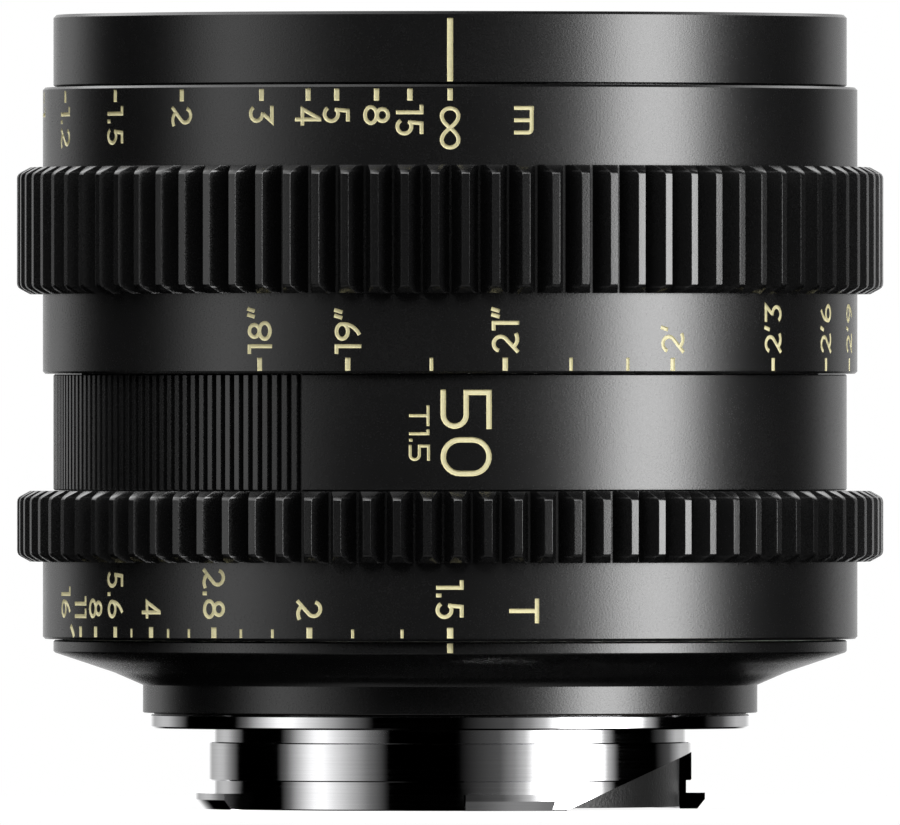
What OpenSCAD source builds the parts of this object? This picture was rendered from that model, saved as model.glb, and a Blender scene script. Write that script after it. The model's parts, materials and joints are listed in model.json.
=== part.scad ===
// Cinema prime lens with a rangefinder bayonet, built as an assembly of separate pieces.
// Units are millimetres. The flange seat is z = 0 and +Z points to the front of the lens.
// The lens is drawn focused at infinity with the iris wide open.

/* [Gears] */
// Teeth on the focus and iris gears. The outer diameters follow from it
gear_teeth = 90; // [90:1:94]
// Module of both gears
gear_module = 0.8; // [0.8:0.01:0.82]
// Width of the focus gear
focus_gear_width = 10.78; // [9:0.02:11.5]
// Width of the iris gear
iris_gear_width = 6.11; // [5.5:0.01:6.3]
// Radial length of the bevel on the tooth ends
tooth_bevel = 1.1; // [0.6:0.1:1.4]

/* [Lengths along the axis] */
// Thickness of the bayonet flange
flange_length = 1.21; // [1.2:0.01:1.4]
// Straight collar above the flange
collar_length = 2.7; // [2.6:0.1:3.2]
// Cone between the collar and the barrel
cone_length = 2.54; // [2.5:0.02:3]
// Straight rim under the iris ring
rim_length = 1.02; // [0.9:0.02:1.4]
// Iris ring with its gear
iris_ring_length = 12.77; // [12.7:0.01:13.4]
// Fixed sleeve between the two rings
sleeve_length = 9.74; // [9.6:0.02:10.4]
// Focus ring with its gear
focus_ring_length = 24.5; // [24.4:0.1:28]
// Front ring with the filter thread
front_ring_length = 6.07; // [5.97:0.1:8]
// Plain band of the focus ring in front of its gear
focus_front_band = 6.87; // [6.4:0.01:8]

/* [Mount] */
// Diameter of the bayonet flange
flange_d = 50.9; // [50.5:0.1:51.5]
// Diameter of the black collar
collar_d = 52.2; // [51.8:0.1:54]
// Diameter over the bayonet lugs
lug_d = 43.3; // [42.9:0.1:43.6]
// Length of the bayonet tube behind the flange
tube_length = 6.86; // [6.8:0.01:7]
// Thickness of each lug along the axis
lug_length = 1.36; // [1.2:0.01:1.5]

/* [Front] */
// Nominal diameter of the filter thread
filter_d = 62; // [61:0.5:62.5]
// Depth of the filter thread
filter_depth = 3.5; // [3:0.1:4]

/* [Grip] */
// Angle between two ribs of the grip, in degrees
grip_pitch = 1.56; // [1.5:0.02:2]
// Depth of the grooves between the ribs
grip_depth = 0.28; // [0.2:0.02:0.4]
// Angle that the grip covers, in degrees
grip_span = 135; // [60:5:135]

/* [Motion] */
// Turn of the focus ring from infinity to the closest distance, in degrees
focus_throw = 210; // [150:5:215]
// Forward travel of the optical unit over that turn
focus_travel = 7.3; // [6:0.1:7.4]
// Turn of the iris ring from open to closed, in degrees
iris_throw = 67; // [60:1:68]
// Radius of the closed aperture
closed_aperture_r = 1.22; // [1:0.02:2]

/* [Fits] */
// Radial clearance of turning and sliding pieces
running_fit = 0.07; // [0.06:0.01:0.09]
// Radial clearance of pieces that are screwed or pressed together
seat_fit = 0.05; // [0.04:0.01:0.06]
// Axial gap at each end of a turning ring
ring_gap = 0.1; // [0.08:0.01:0.12]

/* [Hidden] */
$fn = 96;
eps = 0.01;

// Heights of the outside, from the flange seat up
collar_z = flange_length;
cone_z = collar_z + collar_length;
rim_z = cone_z + cone_length;
iris_z = rim_z + rim_length;
sleeve_z = iris_z + iris_ring_length;
focus_z = sleeve_z + sleeve_length;
front_z = focus_z + focus_ring_length;
top_z = front_z + front_ring_length;
focus_gear_z = front_z - focus_front_band - focus_gear_width;
iris_gear_z = sleeve_z - iris_gear_width;

// Radii of the outside
pitch_r = gear_module * gear_teeth / 2;
tip_r = pitch_r + gear_module;
root_r = pitch_r - 1.25 * gear_module;
root_step = 0.4;
band_r = root_r - root_step;
barrel_step = 0.9;
barrel_r = band_r - barrel_step;
collar_r = collar_d / 2;
flange_r = flange_d / 2;
lug_r = lug_d / 2;

// Filter thread, and under it the recess of the trim ring
thread_depth = 0.4;
thread_r = filter_d / 2 - thread_depth;
thread_z = top_z - filter_depth;
trim_step = 0.5;
recess_r = thread_r - trim_step;
trim_t = 0.79;
ledge_z = thread_z - trim_t - 0.06;

// Sleeves from the focus ring inwards to the optical unit
focus_wall = 3.06;
cam_wall = 1.45;
guide_wall = 2.4;
focus_bore_r = band_r - focus_wall;
cam_r = focus_bore_r - seat_fit;
cam_bore_r = cam_r - cam_wall;
guide_r = cam_bore_r - running_fit;
guide_bore_r = guide_r - guide_wall;
unit_r = guide_bore_r - running_fit;

// Neck of the rear housing, which holds the guide barrel by its spigot and flange
spigot_wall = 0.98;
neck_wall = 2.35;
neck_rise = 1.76;
flange_step = 0.25;
neck_bore_r = guide_bore_r + spigot_wall + seat_fit;
neck_r = neck_bore_r + neck_wall;
neck_top = sleeve_z + neck_rise;
guide_flange_r = neck_r + flange_step;
guide_flange_t = 1.6;
shim_t = 0.1;

// Bayonet tube, and inside it the baffle and the rear cell
lug_height = 1.6;
tube_wall = 0.55;
shoulder_step = 0.45;
baffle_wall = 1.15;
baffle_gap = 1.4;
screw_edge = 1.75;
register_r = lug_r - lug_height;
tube_bore_r = register_r - tube_wall;
shoulder_r = register_r + shoulder_step;
lug_top = -tube_length + lug_length;
baffle_r = tube_bore_r - seat_fit;
baffle_bore_r = baffle_r - baffle_wall;
mount_screw_r = flange_r - screw_edge;
rear_cell_r = baffle_bore_r - baffle_gap;

// Optical unit. Its heights are counted at the default lengths and then shifted by unit_z
unit_datum = 20.24;
unit_z = sleeve_z - unit_datum;
unit_low = 12.5;
unit_step = 23;
unit_top = 44;
arm_wall = 1.1;
arm_side = 0.05;
arm_gap = 0.15;
house_wall = 1.2;
arm_out_r = unit_r - arm_side;
arm_in_r = arm_out_r - arm_wall;
iris_house_r = arm_in_r - arm_gap;
cell_bore_r = iris_house_r - house_wall;

// Screws: radius of the shank, radius of the head and length
mount_shank_r = 0.8;
mount_head_r = 1.32;
mount_screw_length = 4.2;
grub_r = 0.78;
cam_shank_r = 0.5;
cam_head_r = 0.68;
cam_screw_length = 3.9;

// Cam drive
follower_r = 1.2;
follower_lift = 4.02;
follower_z = focus_z + follower_lift;
follower_count = 3;
follower_az = 30;
slot_side = 0.12;
cam_lead = focus_travel * 360 / focus_throw;
cam_slope = atan(cam_lead / (2 * PI * cam_r));
stop_pin_r = 1;
stop_az = 200;
skirt_length = 3.9;
skirt_z = front_z - skirt_length;
cam_top = skirt_z - 0.3;
stop_z = cam_top - 2.7;

// Iris
blade_count = 12;
blade_t = 0.08;
blade_pitch = 0.14;
blade_in_r = 13;
blade_arc = 100;
pivot_edge = 6;
pivot_r = cell_bore_r - pivot_edge;
blade_out_r = pivot_r - 0.75;
tail_angle = 18;
tail_length = 2 * pivot_r * sin(tail_angle / 2);
tail_dir = -(90 + tail_angle / 2);
blade_swing = 2 * asin((blade_in_r - closed_aperture_r) / (2 * pivot_r));
blade_pin_r = 0.4;
plate_rise = 17;
plate_z = unit_z + plate_rise;
plate_t = 0.8;
blade_z = plate_z + plate_t + 0.1;
actuator_z = blade_z + blade_count * blade_pitch + 0.1;
actuator_t = 0.8;
actuator_top = actuator_z + actuator_t;
arm_t = 0.6;
arm_w = 6;
cover_z = actuator_top + arm_t + 0.15;
cover_t = 0.8;
drive_pin_r = 1;
drive_pin_rise = 16;
drive_pin_z = unit_z + drive_pin_rise;
drive_az = 120;
arm_low = drive_pin_z - focus_travel - drive_pin_r - 0.4;

// Front cell, from its rim inwards to the seats of the glass
rim_step = 1.1;
nose_step = 0.4;
nose_wall = 1.4;
bezel_ledge = 1.4;
ring_ledge = 1.6;
spacer_ledge = 4.4;
stop_ledge = 2.2;
cell_rim_r = unit_r - rim_step;
cell_nose_r = cell_rim_r - nose_step;
bezel_r = cell_nose_r - nose_wall;
ring_r = bezel_r - bezel_ledge;
front_glass_r = ring_r - ring_ledge;
mid_glass_r = front_glass_r - spacer_ledge;
cell_stop_r = mid_glass_r - stop_ledge;
cell_top = 49;
bezel_seat = 46.8;

// Rear cell, from its wall inwards
rear_wall = 2.3;
rear_spigot = 0.45;
rear_flange = 2.65;
rear_ring_step = 0.65;
rear_glass_r = rear_cell_r - rear_wall;
rear_spigot_r = rear_cell_r + rear_spigot;
rear_ring_r = rear_glass_r + rear_ring_step;
rear_low = -5.2;
rear_seat = -1.2;

// Glass: the height of each surface on the axis, and its radius of curvature
front_vertex = 47.6;
front_curve = 44;
front_back = 41;
front_back_curve = 140;
second_vertex = 39.9;
second_curve = 25;
front_cement = 32.7;
front_cement_curve = 80;
third_back = 30.7;
third_back_curve = 16.6;
third_seat = 23.87;
fourth_vertex = 11.3;
fourth_curve = 17.5;
rear_cement = 9.5;
rear_cement_curve = 60;
fifth_back = 1.9;
fifth_back_curve = 26;
sixth_vertex = 1.5;
sixth_curve = 70;
sixth_back = -3.5;
sixth_back_curve = 45;
cement_t = 0.02;
glass_gap = 0.06;

// Fall of a spherical surface from its vertex, at a radius from the axis
function sag(r, curve) = curve - sqrt(curve * curve - r * r);

// Seats that follow from the glass
ring_cover = 1.1;
ring_bore_r = front_glass_r - ring_cover;
ring_low = front_vertex - sag(ring_bore_r, front_curve) + glass_gap;
ring_t = 2;
bezel_low = ring_low + ring_t + 0.1;
spacer_bore_r = mid_glass_r - 0.2;
spacer_low = second_vertex - sag(spacer_bore_r, second_curve) + glass_gap;
spacer_top = front_back - sag(front_glass_r, front_back_curve) - glass_gap;

// Turns children drawn along +X to an azimuth counted from the front face, -Y, towards +X
module at_azimuth(angle) {
  rotate([0, 0, angle - 90]) children();
}

module ring_of(count, first) {
  for (i = [0 : count - 1]) {
    at_azimuth(first + i * 360 / count) children();
  }
}

// A turned piece from its profile of [radius, height] points
module turned(profile) {
  rotate_extrude() polygon(profile);
}

// A piece of a turned ring between two azimuths
module sector(profile, from, to) {
  at_azimuth(from) rotate_extrude(angle = to - from) polygon(profile);
}

// A radial pin along +X
module radial_pin(r, inner, outer, z) {
  translate([inner, 0, z]) rotate([0, 90, 0]) cylinder(r = r, h = outer - inner);
}

function polar(r, a) = [r * cos(a), r * sin(a)];

// Corners of the toothed outline, four to a tooth, with 20 degree flanks
function tooth_half(r) = (PI * gear_module / 4 - 0.03 - (r - pitch_r) * tan(20)) / r * 180 / PI;

function tooth_points(phase) = [
  for (i = [0 : gear_teeth - 1])
    let (a = phase - 90 + i * 360 / gear_teeth)
      each [
        polar(root_r, a - tooth_half(root_r)),
        polar(tip_r, a - tooth_half(tip_r)),
        polar(tip_r, a + tooth_half(tip_r)),
        polar(root_r, a + tooth_half(root_r))
      ]
];

// Gear between two heights, with bevelled tooth ends
module gear(low, high, phase) {
  bevel_r = tip_r - tooth_bevel;
  bevel_z = tooth_bevel * 0.55;
  intersection() {
    translate([0, 0, low]) linear_extrude(high - low) polygon(tooth_points(phase));
    turned([
      [0, low], [bevel_r, low], [tip_r + eps, low + bevel_z],
      [tip_r + eps, high - bevel_z], [bevel_r, high], [0, high]
    ]);
  }
}

// Fixed body

module bayonet_mount() {
  seat_r = lug_r + 0.35;
  window_x = 9.81;
  window_slope = 0.452;
  window_low = -tube_length - 0.34;
  window_end = lug_r + 1;
  lug_profile = [
    [tube_bore_r + 0.2, lug_top], [lug_r, lug_top], [lug_r, lug_top - 0.55],
    [lug_r - 0.65, -tube_length], [tube_bore_r + 0.2, -tube_length]
  ];
  color([0.8, 0.8, 0.8]) difference() {
    union() {
      turned([
        [tube_bore_r, -tube_length], [register_r - 0.1, -tube_length], [register_r, -tube_length + 0.1],
        [register_r, lug_top + 1.06], [shoulder_r - 0.1, lug_top + 1.06], [shoulder_r, lug_top + 1.16],
        [shoulder_r, -1.26], [shoulder_r - 0.1, -1.16], [register_r, -1.16],
        [register_r, 0.15], [seat_r, 0.15], [seat_r, 0], [flange_r - 0.15, 0], [flange_r, 0.15],
        [flange_r, flange_length - 0.15], [flange_r - 0.15, flange_length], [tube_bore_r, flange_length]
      ]);
      sector(lug_profile, 3.5, 24.3);
      sector(lug_profile, 90, 130);
      sector(lug_profile, 180, 212);
      sector(lug_profile, 255, 298);
    }
    translate([0, -0.1, 0]) rotate([90, 0, 0]) linear_extrude(2 * lug_r) polygon([
      [window_x + (window_low + tube_length) / window_slope, window_low],
      [window_end, window_slope * (window_end - window_x) - tube_length], [window_end, window_low]
    ]);
    ring_of(4, 45) translate([mount_screw_r, 0, -1]) cylinder(r = mount_shank_r + seat_fit, h = 5);
    ring_of(4, 45) translate([mount_screw_r, 0, -eps]) {
      cylinder(r1 = mount_head_r + 0.13, r2 = mount_shank_r + seat_fit, h = 0.6);
    }
    at_azimuth(235) translate([seat_r + 0.6, -1.3, -1]) cube([6, 2.6, 1.9]);
  }
}

module mount_screws() {
  color([0.6, 0.6, 0.6]) ring_of(4, 45) translate([mount_screw_r, 0, 0]) difference() {
    union() {
      translate([0, 0, 0.06]) cylinder(r1 = mount_head_r, r2 = mount_shank_r, h = 0.52);
      translate([0, 0, 0.3]) cylinder(r = mount_shank_r, h = mount_screw_length - 0.3);
    }
    translate([-2, -0.15, -0.2]) cube([4, 0.3, 0.5]);
  }
}

module flange_shim() {
  color([0.8, 0.65, 0.3]) difference() {
    translate([0, 0, collar_z]) cylinder(r = flange_r - 0.3, h = shim_t);
    translate([0, 0, collar_z - 1]) cylinder(r = tube_bore_r + 0.3, h = 3);
    ring_of(4, 45) translate([mount_screw_r, 0, 0]) cylinder(r = mount_shank_r + 0.2, h = 5);
  }
}

module rear_baffle() {
  color([0.1, 0.1, 0.1]) turned([
    [baffle_bore_r, -tube_length + 0.2], [baffle_r, -tube_length + 0.2],
    [baffle_r, collar_z], [baffle_bore_r, collar_z]
  ]);
}

module rear_housing() {
  low = collar_z + shim_t;
  floor_z = rim_z - 0.05;
  half_turn = (drive_pin_r + 0.15) / neck_r * 180 / PI;
  window = [
    [neck_bore_r - 1, drive_pin_z - drive_pin_r - 0.15], [neck_r + 1, drive_pin_z - drive_pin_r - 0.15],
    [neck_r + 1, drive_pin_z + drive_pin_r + 0.15], [neck_bore_r - 1, drive_pin_z + drive_pin_r + 0.15]
  ];
  color([0.12, 0.12, 0.12]) difference() {
    turned([
      [tube_bore_r + 0.1, low], [collar_r - 0.3, low], [collar_r, low + 0.3], [collar_r, cone_z],
      [barrel_r - 0.12, rim_z - 0.04], [barrel_r, rim_z + 0.1], [barrel_r, iris_z - 0.12],
      [barrel_r - 0.12, iris_z], [neck_r, iris_z],
      [neck_r, neck_top], [neck_bore_r, neck_top], [neck_bore_r, floor_z], [tube_bore_r + 0.1, floor_z]
    ]);
    sector(window, drive_az - half_turn, drive_az + iris_throw + half_turn);
    ring_of(4, 45) translate([mount_screw_r, 0, 0]) {
      cylinder(r = mount_shank_r + seat_fit, h = mount_screw_length + 0.2);
    }
    at_azimuth(210) radial_pin(1.2 + seat_fit, collar_r - 1, collar_r + 2, collar_z + 1.4);
    ring_of(3, 70) radial_pin(grub_r + seat_fit + 0.02, neck_bore_r - 1, neck_r + 1, neck_top - 1);
  }
}

module index_bead() {
  color([0.7, 0.05, 0.05]) at_azimuth(210) intersection() {
    radial_pin(1.2, collar_r - 0.98, collar_r + 2, collar_z + 1.4);
    translate([collar_r - 2.2, 0, collar_z + 1.4]) sphere(r = 2.6);
  }
}

module guide_barrel() {
  slot_w = follower_r + slot_side;
  color([0.25, 0.25, 0.25]) difference() {
    turned([
      [guide_bore_r, neck_top - 2.4], [neck_bore_r - seat_fit, neck_top - 2.4],
      [neck_bore_r - seat_fit, neck_top], [guide_flange_r, neck_top],
      [guide_flange_r, neck_top + guide_flange_t], [guide_r, neck_top + guide_flange_t],
      [guide_r, front_z + 0.02], [guide_bore_r, front_z + 0.02]
    ]);
    ring_of(follower_count, follower_az) {
      radial_pin(slot_w, guide_bore_r - 2, guide_r + 2, follower_z);
      radial_pin(slot_w, guide_bore_r - 2, guide_r + 2, follower_z + focus_travel);
      translate([guide_bore_r - 2, -slot_w, follower_z]) cube([6, 2 * slot_w, focus_travel]);
    }
    at_azimuth(stop_az) radial_pin(stop_pin_r, guide_bore_r + 0.6, guide_r + 2, stop_z);
    ring_of(3, 70) radial_pin(grub_r + 0.02, guide_bore_r + 0.3, neck_r, neck_top - 1);
  }
}

module guide_grub_screws() {
  color([0.5, 0.5, 0.5]) ring_of(3, 70) difference() {
    radial_pin(grub_r, guide_bore_r + 0.35, neck_r - 0.2, neck_top - 1);
    translate([neck_r - 0.7, -0.15, neck_top - 3]) cube([2, 0.3, 4]);
  }
}

// Comb that cuts the grooves of the grip and leaves the ribs standing
module grip_cut() {
  ribs = floor(grip_span / grip_pitch);
  first = -22.9 - 90;
  low_r = barrel_r - grip_depth;
  out_r = barrel_r + 0.05;
  top_half = 0.2 / barrel_r * 180 / PI;
  foot_half = 0.3 / barrel_r * 180 / PI;
  teeth = [
    for (i = [0 : ribs - 1])
      let (a = first - i * grip_pitch)
        each [
          polar(out_r, a - top_half), polar(low_r, a - foot_half),
          polar(low_r, a - grip_pitch + foot_half), polar(out_r, a - grip_pitch + top_half)
        ]
  ];
  back = [for (i = [ribs : -4 : 0]) polar(barrel_r + 2, first - i * grip_pitch)];
  polygon(concat(teeth, back));
}

module middle_sleeve() {
  color([0.12, 0.12, 0.12]) difference() {
    turned([
      [guide_flange_r + seat_fit, sleeve_z], [barrel_r - 0.12, sleeve_z], [barrel_r, sleeve_z + 0.12],
      [barrel_r, focus_z - 0.12], [barrel_r - 0.12, focus_z], [guide_r + seat_fit, focus_z],
      [guide_r + seat_fit, neck_top + guide_flange_t + 0.03],
      [guide_flange_r + seat_fit, neck_top + guide_flange_t + 0.03]
    ]);
    translate([0, 0, sleeve_z - 1]) linear_extrude(sleeve_length + 2) grip_cut();
  }
}

module front_ring() {
  color([0.12, 0.12, 0.12]) turned([
    [guide_r + seat_fit, skirt_z], [focus_bore_r - running_fit, skirt_z],
    [focus_bore_r - running_fit, front_z], [barrel_r - 0.12, front_z], [barrel_r, front_z + 0.12],
    [barrel_r, top_z - 0.25], [barrel_r - 0.25, top_z], [thread_r + 0.4, top_z], [thread_r, top_z - 0.4],
    [thread_r, thread_z], [recess_r, thread_z], [recess_r, ledge_z], [unit_r - 0.5, ledge_z],
    [unit_r - 0.5, front_z + 0.05], [guide_r + seat_fit, front_z + 0.05]
  ]);
}

module front_trim_ring() {
  color([0.08, 0.08, 0.08]) turned([
    [unit_r - 0.7, ledge_z + eps], [recess_r - seat_fit, ledge_z + eps],
    [recess_r - seat_fit, ledge_z + eps + trim_t], [unit_r - 0.2, ledge_z + eps + trim_t],
    [unit_r - 0.7, ledge_z + 0.3]
  ]);
}

module focus_stop_pin() {
  color([0.6, 0.6, 0.6]) at_azimuth(stop_az) {
    radial_pin(stop_pin_r - 0.02, guide_bore_r + 0.62, cam_r - 0.1, stop_z);
  }
}

// Focus ring group

module focus_ring() {
  low = focus_z + ring_gap;
  high = front_z - ring_gap;
  color([0.12, 0.12, 0.12]) difference() {
    union() {
      turned([
        [focus_bore_r - 1, low], [band_r - 0.2, low], [band_r, low + 0.2],
        [band_r, high - 0.2], [band_r - 0.2, high], [focus_bore_r - 1, high]
      ]);
      gear(focus_gear_z, focus_gear_z + focus_gear_width, -1.95);
    }
    translate([0, 0, low - 5]) cylinder(r = focus_bore_r, h = focus_ring_length + 10);
    translate([0, 0, low - 1]) cylinder(r = cam_r + 1.6 + seat_fit, h = 2.3);
    ring_of(3, 90) translate([cam_r + 0.85, 0, low - 1]) {
      cylinder(r = cam_shank_r + seat_fit, h = cam_screw_length + 1.4);
    }
  }
}

// Helical slot of the cam sleeve, swept as one strip of four-sided sections
module cam_slot() {
  steps = 36;
  end_turn = (follower_r + 0.3) / cam_r * 180 / PI;
  half_w = (follower_r + slot_side) / cos(cam_slope);
  inner = cam_bore_r - 0.8;
  outer = cam_r + 0.8;
  points = [
    for (i = [0 : steps])
      let (turn = -end_turn + i * (focus_throw + 2 * end_turn) / steps)
        let (z = follower_z + cam_lead * turn / 360)
          each [
            [inner * cos(turn), -inner * sin(turn), z - half_w],
            [outer * cos(turn), -outer * sin(turn), z - half_w],
            [outer * cos(turn), -outer * sin(turn), z + half_w],
            [inner * cos(turn), -inner * sin(turn), z + half_w]
          ]
  ];
  last = 4 * steps;
  walls = [
    for (i = [0 : steps - 1], k = [0 : 3])
      each [
        [4 * i + k, 4 * i + 4 + (k + 1) % 4, 4 * i + (k + 1) % 4],
        [4 * i + k, 4 * i + 4 + k, 4 * i + 4 + (k + 1) % 4]
      ]
  ];
  caps = [[0, 1, 2], [0, 2, 3], [last + 2, last + 1, last], [last + 3, last + 2, last]];
  polyhedron(points, concat(walls, caps));
}

module cam_sleeve() {
  low = focus_z + ring_gap + 0.05;
  stop_w = stop_pin_r + 0.15;
  stop_turn = (stop_pin_r + 0.1) / cam_bore_r * 180 / PI;
  stop_slot = [
    [cam_bore_r - 1, stop_z - stop_w], [cam_r + 1, stop_z - stop_w],
    [cam_r + 1, stop_z + stop_w], [cam_bore_r - 1, stop_z + stop_w]
  ];
  color([0.75, 0.6, 0.3]) difference() {
    turned([
      [cam_bore_r, low], [cam_r + 1.6, low], [cam_r + 1.6, low + 1.2], [cam_r, low + 1.2],
      [cam_r, cam_top], [cam_bore_r, cam_top]
    ]);
    ring_of(follower_count, follower_az) cam_slot();
    sector(stop_slot, stop_az - focus_throw - stop_turn, stop_az + stop_turn);
    ring_of(3, 90) translate([cam_r + 0.85, 0, low - 1]) cylinder(r = cam_shank_r + seat_fit, h = 5);
    ring_of(3, 90) translate([cam_r + 0.85, 0, low - 1]) cylinder(r = cam_head_r + 0.04, h = 1.6);
  }
}

module cam_screws() {
  low = focus_z + ring_gap + 0.05;
  color([0.6, 0.6, 0.6]) ring_of(3, 90) translate([cam_r + 0.85, 0, low]) difference() {
    union() {
      translate([0, 0, 0.05]) cylinder(r = cam_head_r, h = 0.55);
      translate([0, 0, 0.3]) cylinder(r = cam_shank_r, h = cam_screw_length - 0.3);
    }
    translate([-1, -0.1, -0.1]) cube([2, 0.2, 0.35]);
  }
}

module focus_glide_ring() {
  color([0.85, 0.85, 0.8]) turned([
    [guide_r + 0.3, focus_z + eps], [cam_r - 0.2, focus_z + eps],
    [cam_r - 0.2, focus_z + 0.09], [guide_r + 0.3, focus_z + 0.09]
  ]);
}

module iris_glide_ring() {
  color([0.85, 0.85, 0.8]) turned([
    [neck_r + 0.15, iris_z + eps], [neck_r + 1.6, iris_z + eps],
    [neck_r + 1.6, iris_z + 0.06], [neck_r + 0.15, iris_z + 0.06]
  ]);
}

// Iris ring group

module iris_ring() {
  low = iris_z + ring_gap;
  high = sleeve_z - ring_gap;
  bore_r = neck_r + running_fit;
  color([0.12, 0.12, 0.12]) difference() {
    union() {
      turned([
        [bore_r - 1, low], [band_r - 0.2, low], [band_r, low + 0.2],
        [band_r, high - 1], [bore_r - 1, high - 1]
      ]);
      gear(iris_gear_z, high, -2.97);
    }
    translate([0, 0, low - 1]) cylinder(r = bore_r, h = iris_ring_length + 2);
    at_azimuth(drive_az) radial_pin(drive_pin_r, bore_r - 1, bore_r + 2.6, drive_pin_z);
  }
}

module iris_drive_pin() {
  color([0.6, 0.6, 0.6]) at_azimuth(drive_az) {
    radial_pin(drive_pin_r - 0.02, arm_in_r + 0.1, neck_r + running_fit + 2.58, drive_pin_z);
  }
}

// Optical unit

module lens_barrel() {
  half_turn = 9;
  floor_r = rear_spigot_r + seat_fit;
  window = [
    [cell_bore_r - 1, actuator_top - 0.15], [iris_house_r + 1, actuator_top - 0.15],
    [iris_house_r + 1, actuator_top + arm_t + 0.12], [cell_bore_r - 1, actuator_top + arm_t + 0.12]
  ];
  color([0.3, 0.3, 0.3]) difference() {
    turned([
      [floor_r, unit_z + unit_low], [iris_house_r - 0.3, unit_z + unit_low],
      [iris_house_r, unit_z + unit_low + 0.3], [iris_house_r, unit_z + unit_step],
      [unit_r - 0.4, unit_z + unit_step + 1], [unit_r, unit_z + unit_step + 1.6],
      [unit_r, unit_z + unit_top - 0.3], [unit_r - 0.3, unit_z + unit_top],
      [cell_bore_r, unit_z + unit_top], [cell_bore_r, plate_z], [floor_r, plate_z]
    ]);
    sector(window, drive_az - half_turn, drive_az + iris_throw + half_turn);
    ring_of(follower_count, follower_az) radial_pin(0.8, cell_bore_r - 1, unit_r + 1, follower_z);
  }
}

module cam_followers() {
  color([0.7, 0.7, 0.7]) ring_of(follower_count, follower_az) {
    difference() {
      union() {
        radial_pin(0.78, cell_bore_r + 0.2, unit_r + 1, follower_z);
        radial_pin(follower_r, unit_r + 0.02, cam_r - 0.1, follower_z);
      }
      translate([cam_r - 0.5, -0.2, follower_z - 2]) cube([2, 0.4, 4]);
    }
  }
}

module front_cell() {
  low = cover_z + cover_t + 0.2 - unit_z;
  nose_z = bezel_seat - 0.1;
  front_bore_r = front_glass_r + seat_fit;
  mid_bore_r = mid_glass_r + seat_fit;
  color([0.1, 0.1, 0.1]) translate([0, 0, unit_z]) turned([
    [cell_stop_r, low], [cell_bore_r - seat_fit, low], [cell_bore_r - seat_fit, unit_top + 0.02],
    [cell_rim_r, unit_top + 0.02], [cell_rim_r, nose_z - 0.2], [cell_nose_r, nose_z],
    [cell_nose_r, cell_top - 0.2], [cell_nose_r - 0.2, cell_top], [bezel_r, cell_top], [bezel_r, bezel_seat],
    [ring_r, bezel_seat], [ring_r, ring_low - 0.1], [front_bore_r, ring_low - 0.1],
    [front_bore_r, spacer_low - 0.04], [mid_bore_r, spacer_low - 0.04], [mid_bore_r, third_seat],
    [cell_stop_r, third_seat]
  ]);
}

module front_bezel() {
  low_r = front_glass_r - 0.8;
  rim_r = bezel_r - seat_fit;
  top = cell_top - 0.15;
  color([0.1, 0.1, 0.1]) translate([0, 0, unit_z]) turned([
    [low_r, bezel_low], [ring_r - seat_fit, bezel_low], [ring_r - seat_fit, bezel_seat + 0.03],
    [rim_r, bezel_seat + 0.03], [rim_r, top - 0.15], [rim_r - 0.15, top], [low_r + 2, top]
  ]);
}

module front_retaining_ring() {
  color([0.1, 0.1, 0.1]) translate([0, 0, unit_z]) difference() {
    turned([
      [ring_bore_r, ring_low], [ring_r - seat_fit, ring_low],
      [ring_r - seat_fit, ring_low + ring_t], [ring_bore_r + 0.2, ring_low + ring_t]
    ]);
    translate([-ring_r, -0.6, ring_low + ring_t - 0.6]) cube([2 * ring_r, 1.2, ring_t]);
  }
}

// Glass between two spheres. A positive radius has its centre on the rear side of the surface
module lens_glass(r, low, high, front_vertex, front_r, rear_vertex, rear_r) {
  color([0.7, 0.85, 0.9, 0.5]) translate([0, 0, unit_z]) difference() {
    intersection() {
      translate([0, 0, low]) cylinder(r = r, h = high - low);
      if (front_r > 0) {
        translate([0, 0, front_vertex - front_r]) sphere(r = front_r, $fn = 240);
      }
      if (rear_r < 0) {
        translate([0, 0, rear_vertex - rear_r]) sphere(r = -rear_r, $fn = 240);
      }
    }
    if (front_r < 0) {
      translate([0, 0, front_vertex - front_r]) sphere(r = -front_r, $fn = 240);
    }
    if (rear_r > 0) {
      translate([0, 0, rear_vertex - rear_r]) sphere(r = rear_r, $fn = 240);
    }
  }
}

module front_element() {
  lens_glass(
    front_glass_r, spacer_top - 1, front_vertex + 1, front_vertex, front_curve, front_back, front_back_curve
  );
}

module front_spacer() {
  color([0.1, 0.1, 0.1]) translate([0, 0, unit_z]) turned([
    [spacer_bore_r, spacer_low], [front_glass_r, spacer_low],
    [front_glass_r, spacer_top], [front_glass_r - 1.2, spacer_top]
  ]);
}

module second_element() {
  low = front_cement - sag(mid_glass_r, front_cement_curve) - 1;
  lens_glass(
    mid_glass_r, low, second_vertex + 1, second_vertex, second_curve, front_cement, front_cement_curve
  );
}

module third_element() {
  lens_glass(
    mid_glass_r, third_seat + 0.03, front_cement + 1,
    front_cement - cement_t, front_cement_curve, third_back, third_back_curve
  );
}

module iris_base_plate() {
  color([0.1, 0.1, 0.1]) difference() {
    translate([0, 0, plate_z + eps]) cylinder(r = cell_bore_r - seat_fit, h = plate_t - eps);
    translate([0, 0, plate_z - 1]) cylinder(r = blade_in_r - 0.1, h = 4);
    for (i = [0 : blade_count - 1]) {
      rotate([0, 0, i * 360 / blade_count]) translate([pivot_r, 0, plate_z - 1]) {
        cylinder(r = blade_pin_r + 0.1, h = 4);
      }
    }
  }
}

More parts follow.
